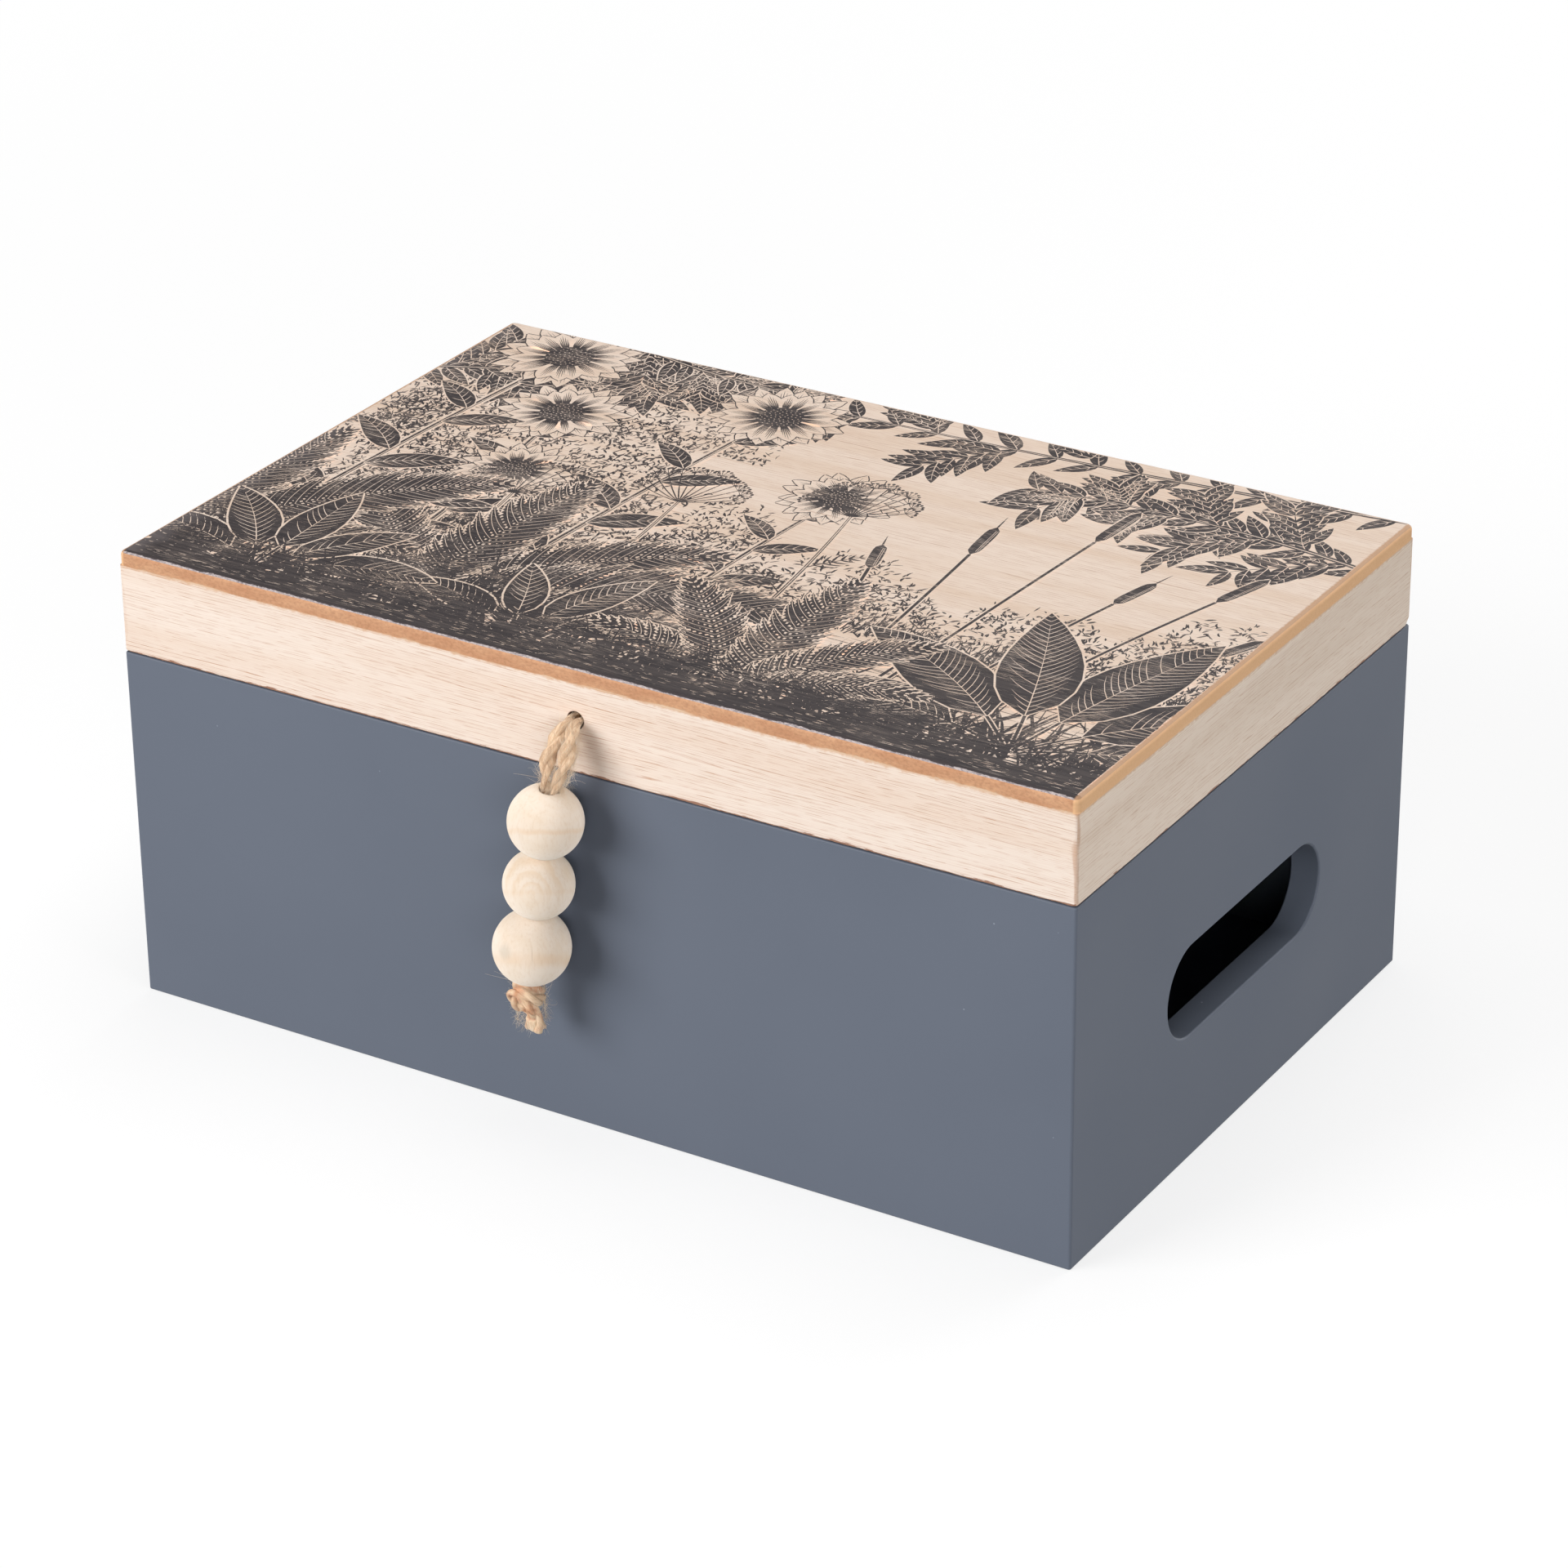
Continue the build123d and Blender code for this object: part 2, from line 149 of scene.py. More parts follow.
class Finish(Nodes):
    """The nodes of one material, from the surface's own coordinates to its one shader."""

    def __init__(self, name):
        super().__init__(bpy.data.materials.new(name))
        self.place = self.add("ShaderNodeTexCoord").outputs["Object"]
        self.colour = None

    def axis(self, index, source=None):
        """One coordinate of the surface point."""
        node = self.add("ShaderNodeSeparateXYZ", {0: source or self.place})
        return Field(self, node.outputs[index])

    def vector(self, operation, first, second=(0, 0, 0)):
        """Arithmetic on vectors; a length or a dot product is a number."""
        node = self.add("ShaderNodeVectorMath", {0: first, 1: second}, operation=operation)
        if operation in ("LENGTH", "DOT_PRODUCT"):
            return Field(self, node.outputs["Value"])
        return node.outputs[0]

    def noise(self, per_metre, detail=2.0, rough=0.5, shift=0.0, warp=0.0, source=None):
        """Noise with that many features to the metre, alike or along X, Y and Z."""
        scale = per_metre if isinstance(per_metre, (tuple, list)) else [per_metre] * 3
        moved = (shift, shift * 1.7, shift * 2.3)
        values = {"Vector": source or self.place, "Scale": scale, "Location": moved}
        where = self.add("ShaderNodeMapping", values).outputs[0]
        values = {"Vector": where, "Scale": 1.0, "Detail": detail, "Roughness": rough, "Distortion": warp}
        return Field(self, self.add("ShaderNodeTexNoise", values).outputs[0])

    def streaks(self, along, length, width, **settings):
        """Noise in streaks of that length along X or Y and of that width across, in millimetres."""
        scale = [1 / (width * mm)] * 3
        scale["XY".index(along)] = 1 / (length * mm)
        return self.noise(scale, **settings)

    def mix(self, share, first, second):
        """Two colours mixed by share."""
        values = {0: share, 6: as_shaded(first), 7: as_shaded(second)}
        return self.add("ShaderNodeMix", values, data_type="RGBA").outputs[2]

    def lay(self, share, colour):
        """Lays a colour over the material's own, by share."""
        self.colour = self.mix(share, self.colour, colour)

    def shade(self, roughness, relief=None, depth=0.0, **constants):
        """Ends the material in one Principled shader; its relief is depth metres high from 0 to 1."""
        values = {"Base Color": self.colour, "Roughness": roughness}
        values.update({name.replace("_", " "): value for name, value in constants.items()})
        if relief:
            heights = {"Height": relief, "Distance": depth, "Strength": 1.0}
            values["Normal"] = self.add("ShaderNodeBump", heights).outputs[0]
        shader = self.add("ShaderNodeBsdfPrincipled", values)
        self.add("ShaderNodeOutputMaterial", {"Surface": shader.outputs[0]})
        return self.owner


def inward(finish):
    """How far a point is in from the lid's ends, and from its front and back."""
    return half_width - abs(finish.axis(0)), half_depth - abs(finish.axis(1))


def outer_share(finish):
    """1 on the lid's outer sides, 0 further in."""
    return finish.math("MINIMUM", *inward(finish)).ramp(1.5 * mm, 0.9 * mm)


# Wood
def wood(finish, along, seed, light, warm, pore, upright=True):
    """Pale wood: soft bands, regular fine broken grain lines and a few short brown pores."""
    bands = finish.streaks(along, 190, 9, detail=2, shift=seed, warp=0.3)
    fibres = finish.streaks(along, 8, 0.22, detail=2, shift=seed + 5)
    drift = finish.streaks(along, 150, 7, detail=3, rough=0.6, shift=seed + 3)
    dashes = finish.streaks(along, 5.5, 0.9, detail=2, rough=0.55, shift=seed + 9)
    crowd = finish.streaks(along, 70, 5, detail=1, shift=seed + 12)
    across = finish.axis(1)
    if upright:
        across = finish.axis(1 if along == "X" else 0) * 0.35 + finish.axis(2)
    near_line = (drift * 5.0 + across * (1 / (1.05 * mm))).from_line()
    near_fine = (drift * 9.0 + across * (1 / (0.47 * mm))).from_line()
    wanted = dashes + crowd.ramp(0.35, 0.65, -0.05, 0.06)
    finish.colour = finish.mix(bands.ramp(0.35, 0.7), light, warm)
    finish.lay(fibres.ramp(0.3, 0.8, 0, 0.10), pore)
    finish.lay(near_fine.ramp(0.20, 0.05) * wanted.ramp(0.42, 0.58, 0.04, 0.26), pore)
    finish.lay(near_line.ramp(0.105, 0.04) * wanted.ramp(0.40, 0.56, 0.07, 0.38), pore)
    pores = near_line.ramp(0.095, 0.03) * wanted.ramp(0.60, 0.66)
    finish.lay(pores * 0.38, pore)
    return fibres, fibres - pores * 0.8


def pale_wood(name, along, seed, light, warm, pore):
    """Sanded, unfinished rails of the lid, browned along their cut lower edge, with painted shade inside
    the cord's hole and a thin brown rim round it.
    """
    finish = Finish(name)
    fibres, relief = wood(finish, along, seed, light, warm, pore)
    height = finish.axis(2)
    ragged = finish.streaks(along, 4, 0.4, detail=3, shift=seed + 21)
    broken = finish.streaks(along, 16, 9, detail=2, shift=seed + 24)
    torn = ragged * (1.7 * mm) + broken * (1.6 * mm) - height
    torn = torn.ramp(1.22 * mm - rail_low.z, 1.40 * mm - rail_low.z, 0, 0.85)
    finish.lay(torn * outer_share(finish), (140, 88, 60))
    dust = finish.noise((500, 500, 700), detail=3, rough=0.6, shift=seed + 27)
    dusty = (dust * (2.2 * mm) + height).ramp(rail_high.z + 0.2 * mm, rail_high.z + 1.3 * mm, 0, 0.75)
    finish.lay(dusty, (208, 162, 122))
    side_x, side_y = inward(finish)
    stain = finish.noise((300, 300, 90), detail=2, shift=seed + 31)
    corner = (side_x + side_y - stain * (3.6 * mm)).ramp(-1.2 * mm, -1.9 * mm)
    finish.lay(corner * finish.axis(0).ramp(-0.1, 0.1, 0.12, 0.5), (186, 136, 100))
    # Painted shade: the wall of the cord's hole is darkened to brown, and a thin brown rim rings its mouth.
    aside = finish.axis(0) - cord_mouth.x
    above = height - cord_mouth.z
    bored = finish.math("SQRT", aside * aside + above * above)
    bored = bored.ramp(hole_radius + 0.20 * mm, hole_radius + 0.02 * mm, 0, 0.8)
    finish.lay(bored * finish.axis(1).ramp(0, -10 * mm), (98, 62, 40))
    return finish.shade(fibres.ramp(0.2, 0.8, 0.62, 0.78), relief, 0.04 * mm, Specular_IOR_Level=0.3)


def veneer_wood(finish):
    """The lid's veneer, with its grain along the front."""
    return wood(finish, "X", 40, (242, 223, 207), (234, 211, 191), (184, 138, 106), upright=False)


def bare_veneer():
    """Bare veneer; its sanded front edge shows ragged remains of the print's dark bank."""
    finish = Finish("veneer")
    fibres, relief = veneer_wood(finish)
    front = finish.axis(1) + half_depth
    fuzz = finish.noise((700, 900, 2500), detail=4, rough=0.65, shift=3)
    tears = finish.noise((110, 500, 500), detail=4, rough=0.6, shift=8)
    fluff = finish.noise((1100, 1500, 3500), detail=4, rough=0.7, shift=14)
    rubbed = front.ramp(2.4 * mm, 2.0 * mm)
    kept = (front - tears * (1.5 * mm) - fuzz * (0.7 * mm)).ramp(-0.75 * mm, -0.60 * mm)
    worn = finish.mix(fluff.ramp(0.35, 0.65), (132, 122, 124), (196, 184, 182))
    finish.lay(rubbed, finish.mix(kept, worn, (68, 61, 62)))
    browned = (inward(finish)[0] - fuzz * (1.2 * mm)).ramp(0.9 * mm, 0.2 * mm, 0, 0.85)
    finish.lay(browned, (196, 152, 116))
    rough = fibres.ramp(0.2, 0.8, 0.6, 0.75)
    return finish.shade(rough, relief + rubbed * fuzz, 0.04 * mm, Specular_IOR_Level=0.3)


def charcoal_ink():
    """Matt charcoal ink, broken where it missed the grain's hollows."""
    finish = Finish("ink")
    fibres, relief = veneer_wood(finish)
    bare = finish.colour
    scratch = finish.streaks("X", 6, 0.16, detail=2, rough=0.6, shift=71)
    patch = finish.noise((55, 90, 90), detail=3, shift=77)
    missed = (scratch - patch.ramp(0.3, 0.7, 0.70, 0.56)).ramp(-0.02, 0.06, 0, 0.7)
    missed = missed * finish.axis(1).ramp(8 * mm - half_depth, 22 * mm - half_depth, 0.3, 1)
    tone = finish.noise((60, 900, 900), detail=3, shift=81)
    finish.colour = finish.mix(tone.ramp(0.3, 0.7), (54, 48, 50), (78, 70, 69))
    left_end = (patch * (14 * mm) + finish.axis(0)).ramp(16 * mm - half_width, 7 * mm - half_width, 0, 0.7)
    finish.lay(left_end, (112, 104, 104))
    finish.lay(missed, bare)
    return finish.shade(fibres.ramp(0.2, 0.8, 0.5, 0.68), relief, 0.04 * mm)


def raw_board():
    """The sawn edge of the thin board, paler at its lower skin and its ends, and its plain inner face."""
    finish = Finish("raw_board")
    fuzz = finish.noise((900, 900, 1600), detail=4, rough=0.65)
    cloud = finish.noise((70, 70, 260), detail=4, rough=0.62, shift=5)
    faint = finish.noise(1200, detail=3, rough=0.7, shift=9)
    finish.colour = finish.mix(cloud.ramp(0.3, 0.7), (194, 141, 104), (209, 160, 122))
    finish.lay(fuzz.ramp(0.35, 0.75, 0, 0.5), (158, 112, 82))
    skin = finish.axis(2) - (fuzz + cloud * 3.2) * mm
    finish.lay(skin.ramp(board_bottom - 1.8 * mm, board_bottom - 2.4 * mm, 0, 0.75), (226, 200, 172))
    finish.lay(inward(finish)[0].ramp(1.5 * mm, 0.9 * mm, 0, 0.75), (240, 194, 146))
    outer = outer_share(finish)
    face = finish.mix(faint.ramp(0.3, 0.7), (176, 140, 108), (192, 158, 126))
    finish.colour = finish.mix(outer, face, finish.colour)
    return finish.shade(fuzz.ramp(0.3, 0.7, 0.8, 0.95), fuzz * outer.ramp(0, 1, 0.25, 1), 0.12 * mm)


def slate_paint():
    """Sprayed slate paint on sanded board, with a faint stipple and a few pale dust specks."""
    finish = Finish("slate_paint")
    cloud = finish.noise(14, detail=3)
    stipple = finish.noise(1500, detail=2)
    cells = {"Vector": finish.place, "Scale": 110.0, "Randomness": 1.0}
    cells = finish.add("ShaderNodeTexVoronoi", cells).outputs
    chosen = finish.axis(0, cells["Color"]).ramp(0.86, 0.87)
    specks = chosen * Field(finish, cells["Distance"]).ramp(0.040, 0.015)
    finish.colour = finish.mix(cloud.ramp(0.3, 0.7), (94, 101, 114), (97, 104, 117))
    finish.lay(specks * 0.6, (168, 174, 184))
    rough = cloud.ramp(0.3, 0.7, 0.50, 0.58)
    return finish.shade(rough, stipple * 0.5 + specks, 0.02 * mm, Specular_IOR_Level=0.3)


def brass(name, seed):
    """Stamped brass, slightly tarnished."""
    finish = Finish(name)
    cloud = finish.noise(300, detail=3, shift=seed)
    brushed = finish.noise((200, 4000, 4000), detail=2, shift=seed + 4)
    finish.colour = finish.mix(cloud.ramp(0.35, 0.7), (178, 156, 120), (146, 126, 94))
    return finish.shade(brushed.ramp(0.3, 0.7, 0.32, 0.48), brushed, 0.01 * mm, Metallic=1.0)


def bead_wood(name, centre, seed, ring_axis, ring_share, band, crack_share=0, smudge=None):
    """Turned raw wood: faint rings, a warm band (height, width and share), a crack and a grey smudge."""
    finish = Finish(name)
    band_height, band_width, band_share = band
    local = finish.vector("SUBTRACT", finish.place, centre)
    wander = finish.noise(85, detail=3, shift=seed, source=local)
    pores = finish.noise((1500, 1500, 420), detail=3, rough=0.6, shift=seed + 5, source=local)
    patch = finish.noise(150, detail=2, shift=seed + 8, source=local)
    radius = finish.vector("LENGTH", finish.vector("CROSS_PRODUCT", local, Vector(ring_axis).normalized()))
    ring = finish.math("FRACT", wander * 2.6 + radius * (1 / (2.3 * mm)))
    level = finish.vector("DOT_PRODUCT", local, bead_level) + wander * (3.0 * mm)
    late = ring.ramp(0.2, 0.8) * ring.ramp(1.0, 0.82) * level.ramp(-2.5 * mm, 2.5 * mm, 0.2, 1.0)
    warm = abs(level - band_height).ramp(band_width, 0.1 * mm) * wander.ramp(0.3, 0.6, 0.4, 1.0)
    finish.colour = finish.mix(patch.ramp(0.35, 0.7), (240, 228, 214), (237, 223, 206))
    finish.lay(late * ring_share, (224, 190, 142))
    finish.lay(warm * band_share, (226, 187, 138))
    finish.lay(pores.ramp(0.46, 0.74, 0, 0.26), (216, 190, 160))
    if crack_share:
        line = finish.vector("DOT_PRODUCT", local, bead_right) + (wander - 1) * (0.9 * mm)
        crack = abs(line).ramp(0.14 * mm, 0.03 * mm) * abs(level + 0.6 * mm).ramp(3.0 * mm, 1.2 * mm)
        finish.lay(crack * crack_share, (176, 150, 120))
    if smudge:
        near = finish.vector("LENGTH", finish.vector("SUBTRACT", local, Vector(smudge) * mm))
        finish.lay((near + wander * (3.0 * mm)).ramp(4.4 * mm, 1.8 * mm, 0, 0.4), (204, 194, 178))
    rough = pores.ramp(0.3, 0.8, 0.6, 0.76)
    return finish.shade(rough, pores, 0.02 * mm, Specular_IOR_Level=0.2, Diffuse_Roughness=1.0)


def jute(name, seed, dark, stained, brown):
    """Twisted jute: fine fibres along each ply, which the tube's own map gives, and brown stains."""
    finish = Finish(name)
    along = finish.add("ShaderNodeUVMap", uv_map="fibres").outputs[0]
    fibres = finish.noise((34, 2.4, 1), detail=3, rough=0.6, shift=seed, source=along)
    thick = finish.noise((9, 0.9, 1), detail=2, shift=seed + 7, source=along)
    stain = finish.noise(260, detail=2, shift=seed)
    below = finish.vector("DOT_PRODUCT", finish.vector("SUBTRACT", finish.place, knot_seat), string_up)
    tips = below.ramp(-12.2 * mm, -13.4 * mm) * below.ramp(-20 * mm, -18 * mm)
    finish.colour = finish.mix(fibres.ramp(0.32, 0.68), dark, (253, 231, 203))
    finish.lay(thick.ramp(0.35, 0.7, 0, 0.3), (226, 192, 156))
    finish.lay(stain.ramp(0.42, 0.66, 0, stained), brown)
    finish.lay(tips * 0.6, (242, 218, 188))
    return finish.shade(0.85, thick * 0.6 + fibres, 0.08 * mm, Sheen_Weight=0.25, Specular_IOR_Level=0.2)


def loose_jute():
    """Single jute fibres that stand off the cord."""
    finish = Finish("loose_fibres")
    finish.colour = finish.mix(finish.noise(400, detail=1).ramp(0.3, 0.7), (246, 232, 212), (226, 200, 168))
    return finish.shade(0.7, Specular_IOR_Level=0.3)


def give(names, material):
    """Puts one material on CAD nodes."""
    for name in names:
        for slot in nodes[name].material_slots:
            slot.material = material


wood_front = pale_wood("pale_wood_x", "X", 2, (237, 222, 209), (232, 213, 197), (182, 122, 80))
# Painted light: the end rails' wood is a lighter copy of the front and back rails' wood, to brighten the
# right end rail where less light falls.
wood_sides_painted_lighter = pale_wood("pale_wood_y", "Y", 6, (240, 224, 208), (233, 216, 199), (190, 146, 112))
veneer = bare_veneer()
ink = charcoal_ink()
give(["front_panel", "back_panel", "left_panel", "right_panel", "bottom_panel"], slate_paint())
give(["lid_front_rail", "lid_back_rail"], wood_front)
give(["lid_left_rail", "lid_right_rail"], wood_sides_painted_lighter)
give(["lid_board"], raw_board())
give(["lid_veneer"], veneer)
give([name for name in nodes if "hinge" in name and "screws" not in name], brass("hinge_brass", 0))
give(["case_hinge_screws", "lid_hinge_screws"], brass("screw_brass", 9))


def wave(x, y, z):
    """Smooth noise between -1 and 1."""
    return noise.noise(Vector((x, y, z)))


def turned(side, other, angle):
    """The direction at that angle from one direction towards another."""
    return side * cos(angle) + other * sin(angle)


def rounded(half, power=2, least=0.0):
    """Heights of a round arch from 0 to 1 and back, with its top after that many steps."""
    return [sqrt(max(least, 1 - abs(number / half - 1) ** power)) for number in range(2 * half + 1)]


def new_piece(name, corners, faces, materials, smooth=True):
    """An object from corners in the frame's axes and lists of their numbers."""
    mesh = bpy.data.meshes.new(name)
    mesh.from_pydata(corners, [], faces)
    for material in materials:
        mesh.materials.append(material)
    if smooth:
        mesh.shade_smooth()
    piece = bpy.data.objects.new(name, mesh)
    bpy.context.scene.collection.objects.link(piece)
    return piece


def add_rail_edge(name, seed, finish, middle, along, start, end):
    """The sawn lower edge of one rail of the lid, with torn fibres, square and close to the case."""
    outward = Vector((along.y, -along.x, 0))
    upper = rail_low.z + 0.5 * mm
    thick = 0.55 * mm
    count = int((end - start) / (0.35 * mm))
    corners, faces = [], []
    for number in range(count + 1):
        walked = start + (end - start) * number / count
        ragged = wave(walked / mm * 0.9, 3.0, seed) + wave(walked / mm * 0.12, 8.0, seed)
        lower = rail_low.z - (0.10 + 0.12 * max(-1.0, min(1.0, ragged))) * mm
        for depth, height in ((0.0, upper), (0.0, lower), (thick, lower), (thick, upper)):
            place = middle + along * walked - outward * depth
            corners.append((place.x, place.y, height))
    for low in range(0, count * 4, 4):
        faces += [(first, first + 1, first + 5, first + 4) for first in range(low, low + 3)]
    edge = new_piece(f"lid_{name}_rail_edge", corners, faces, [finish], smooth=False)
    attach(edge, "lid")


left_end = 1.0 * mm - half_width
front_end = 1.0 * mm - half_depth
back_end = 4.0 * mm - half_depth
front_middle = Vector((0, -half_depth, 0))
right_middle = Vector((half_width, 0, 0))
for facts in (
    ("front", half_width, wood_front, front_middle, Vector((1, 0, 0)), left_end, -left_end),
    ("right", half_depth, wood_sides_painted_lighter, right_middle, Vector((0, 1, 0)), front_end, -back_end),
    ("left", half_depth, wood_sides_painted_lighter, -right_middle, Vector((0, -1, 0)), back_end, -front_end),
):
    add_rail_edge(*facts)


# Beads
bead_level = Vector((-0.236, 0.386, 0.892))
bead_right = Vector((0.853, 0.522, 0))
bead_finishes = (
    bead_wood(
        "bead_top", bead_centres[0], seed=0, ring_axis=(0.5, -0.2, 1), ring_share=0.05,
        band=(-1.0 * mm, 1.2 * mm, 0.28),
    ),
    bead_wood(
        "bead_middle", bead_centres[1], seed=3, ring_axis=(0.30, -0.80, 0.14), ring_share=0.24,
        band=(-0.4 * mm, 1.2 * mm, 0.12),
    ),
    bead_wood(
        "bead_bottom", bead_centres[2], seed=6, ring_axis=(0.9, 0.3, 0.5), ring_share=0.06,
        band=(-1.9 * mm, 2.8 * mm, 0.34), crack_share=0.36, smudge=(-1.8, -10.3, 2.7),
    ),
)


def add_bead(name, centre, finish):
    """A turned bead: a ball with a bore along the string and a slightly eased rim, a little uneven."""
    low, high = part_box(name)
    radius = (high.y - low.y) / 2
    bore = 2.7 * mm
    ease = 0.15 * mm
    around = 96
    levels = 56
    unevenness = 0.05 * mm
    half = sqrt(radius ** 2 - (bore + ease) ** 2)
    first_angle = atan2(half, bore + ease)
    angles = [first_angle * (1 - 2 * number / levels) for number in range(levels + 1)]
    profile = [(radius * cos(angle), radius * sin(angle)) for angle in angles]
    profile = [(bore, half - ease * 1.5), *profile, (bore, -half + ease * 1.5)]
    corners, faces = [], []
    for ring, (away, level) in enumerate(profile):
        following = (ring + 1) % len(profile)
        for number in range(around):
            angle = tau * number / around
            place = turned(string_side, toward_front, angle) * away + string_up * level
            uneven = unevenness * wave(*(place / (4 * mm) + Vector((0, 7.0, radius / mm))))
            corners.append(centre + place * (1 - max(0.0, uneven) / radius))
            beside = (number + 1) % around
            faces.append((ring * around + number, following * around + number,
                          following * around + beside, ring * around + beside))
    bead = new_piece(name + "_turned", corners, faces, [finish])
    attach(bead, name)
    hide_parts(name)
    return bead


beads = [add_bead(*facts) for facts in zip(bead_names, bead_centres, bead_finishes)]


# Print on the lid: a made-up bank of ferns, umbels, reeds and leafy boughs in engraved strokes
print_margin = 1.2 * mm
print_lift = 0.015 * mm
motif_step = 0.005 * mm
golden_angle = 2.39996

# These and the strokes' own places and widths are in millimetres, from the lid's middle
cell_size = 3
print_left = -150
print_right = 150


class Engraving:
    """Flat inked strokes on the lid, in millimetres from its middle; later motifs lie over earlier ones."""

    def __init__(self, seed):
        self.chance = Random(seed)
        self.uniform = self.chance.uniform
        self.corners = []
        self.faces = []
        self.bare_faces = []
        self.tops = {}
        self.first = 0
        self.cells = set()
        self.steps = 1

    def motif(self, steps=1):
        """Starts a motif, that many steps thick, which covers the ones before it."""
        base = max((self.tops.get(cell, 0) for cell in self.cells), default=0)
        for corner in self.corners[self.first:]:
            corner.z = lid_top + print_lift + (base + corner.z) * motif_step
        for cell in self.cells:
            self.tops[cell] = base + self.steps
        self.first = len(self.corners)
        self.cells = set()
        self.steps = steps

    def stroke(self, line, widths, order=0.35, bare=False):
        """A ribbon on line; order places it within its motif, and bare shows the wood."""
        first = len(self.corners)
        height = order + self.uniform(-0.1, 0.1)
        for index, (x, y) in enumerate(line):
            before = line[max(index - 1, 0)]
            after = line[min(index + 1, len(line) - 1)]
            across = Vector((before[1] - after[1], after[0] - before[0]))
            across = across.normalized() * max(widths[index], 0.02) / 2
            for side in (1, -1):
                corner = Vector((x, y)) + across * side
                self.corners.append(Vector((corner.x * mm, corner.y * mm, height)))
                self.touch(corner)
        for index in range(len(line) - 1):
            low = first + 2 * index
            self.bare_faces.append(bare)
            self.faces.append((low, low + 1, low + 3, low + 2))
            start, end = Vector(line[index]), Vector(line[index + 1])
            count = int((end - start).length / 2)
            for number in range(count):
                self.touch(start.lerp(end, (number + 0.5) / count))

    def touch(self, place):
        """Notes the cell of the lid that a motif covers there."""
        self.cells.add((int(place.x // cell_size), int(place.y // cell_size)))

    def vary(self, value, share):
        """The value, give or take up to that share of it."""
        return value * self.uniform(1 - share, 1 + share)

    def piece(self, name):
        """The strokes as one object, cut off short of the lid's edges."""
        self.motif()
        made = new_piece(name, self.corners, self.faces, [ink, veneer], smooth=False)
        for polygon, bare in zip(made.data.polygons, self.bare_faces):
            polygon.material_index = int(bare)
        cut = bmesh.new()
        cut.from_mesh(made.data)
        reach = (half_width - print_margin, half_depth - print_margin)
        for axis, limit in enumerate(reach):
            for side in (-1, 1):
                normal = Vector((0, 0, 0))
                normal[axis] = side
                bmesh.ops.bisect_plane(
                    cut, geom=[*cut.verts, *cut.edges, *cut.faces], plane_co=normal * limit,
                    plane_no=normal, clear_outer=True,
                )
        cut.to_mesh(made.data)
        cut.free()
        made.visible_shadow = False
        return made


def flat_direction(angle):
    """The direction at that angle on the lid."""
    return Vector((cos(angle), sin(angle)))


def tapered(start, fall, count):
    """Widths that fall evenly."""
    return [start - fall * number for number in range(count)]


def arc(start, heading, length, bend, steps):
    """Points from start, where the heading in degrees changes by bend on the way; and the headings."""
    points = [Vector(start)]
    headings = [heading]
    for number in range(steps):
        toward = radians(heading + bend * (number + 0.5) / steps)
        points.append(points[-1] + flat_direction(toward) * length / steps)
        headings.append(heading + bend * (number + 1) / steps)
    return points, headings


def point_at(line, share):
    """The point at that share of a line, and the number of the stretch it lies in."""
    steps = len(line) - 1
    index = min(int(share * steps), steps - 1)
    return line[index].lerp(line[index + 1], share * steps - index), index


def leaf_widths(width, steps, broadest=0.4):
    """Widths of a leaf that is broadest at that share of its length."""
    power = log(0.5) / log(broadest)
    return [width * sin(pi * (number / steps) ** power) ** 0.85 for number in range(steps + 1)]


def draw_leaf(art, base, heading, length, width, bend, halo=0.9):
    """One leaf: an inked blade over a bare rim, with a bare midrib and side veins."""
    steps = 8
    line, headings = arc(base, heading, length, bend, steps)
    widths = leaf_widths(width, steps)
    art.stroke(line, [value + halo for value in widths], 0.0, bare=True)
    art.stroke(line, widths, 0.35)
    art.stroke(line[:-1], [max(0.35 - 0.04 * number, 0.1) for number in range(steps)], 0.8, bare=True)
    count = max(3, int(length / 2.6))
    for number in range(1, count):
        point, index = point_at(line, number / count)
        reach = leaf_widths(width, count)[number] * 0.62
        for side in (-1, 1):
            if side > 0 and art.chance.random() < 0.25:
                continue
            rib, _ = arc(point, headings[index] + side * 52, reach, -side * 22, 3)
            art.stroke(rib, [0.26, 0.24, 0.18, 0.05], 0.8, bare=True)


def draw_frond(art, base, heading, length, bend):
    """A fern frond: its stalk and two rows of toothed leaflets."""
    art.motif()
    steps = 24
    line, headings = arc(base, heading, length, bend, steps)
    art.stroke(line, [1.3 - 1.0 * number / steps for number in range(steps + 1)])
    pairs = int(length / 3.1)
    for number in range(2, pairs):
        share = number / pairs
        point, index = point_at(line, share)
        reach = length * 0.2 * sin(pi * (0.10 + 0.88 * share)) ** 0.8 * art.uniform(0.9, 1.08)
        width = 1.05 + reach * 0.13
        for side in (-1, 1):
            slant = headings[index] + side * (66 - 22 * share) + art.uniform(-4, 4)
            teeth = max(4, int(reach / 0.9))
            leaflet, _ = arc(point, slant, reach, -side * 24, teeth)
            shape = leaf_widths(width, teeth, 0.32)
            toothed = [value * (1.28 if tooth % 2 else 0.62) for tooth, value in enumerate(shape)]
            toothed[0] = width * 0.5
            art.stroke(leaflet, [value * 1.1 + 0.75 for value in shape], 0.0, bare=True)
            art.stroke(leaflet, toothed)
            if reach > 8:
                art.stroke(leaflet[:-1], [0.18] * teeth, 0.8, bare=True)


def draw_fern(art, base, fronds):
    """Fronds from one foot, each with its heading, length and bend."""
    for heading, length, bend in fronds:
        draw_frond(art, base, heading, length, bend)


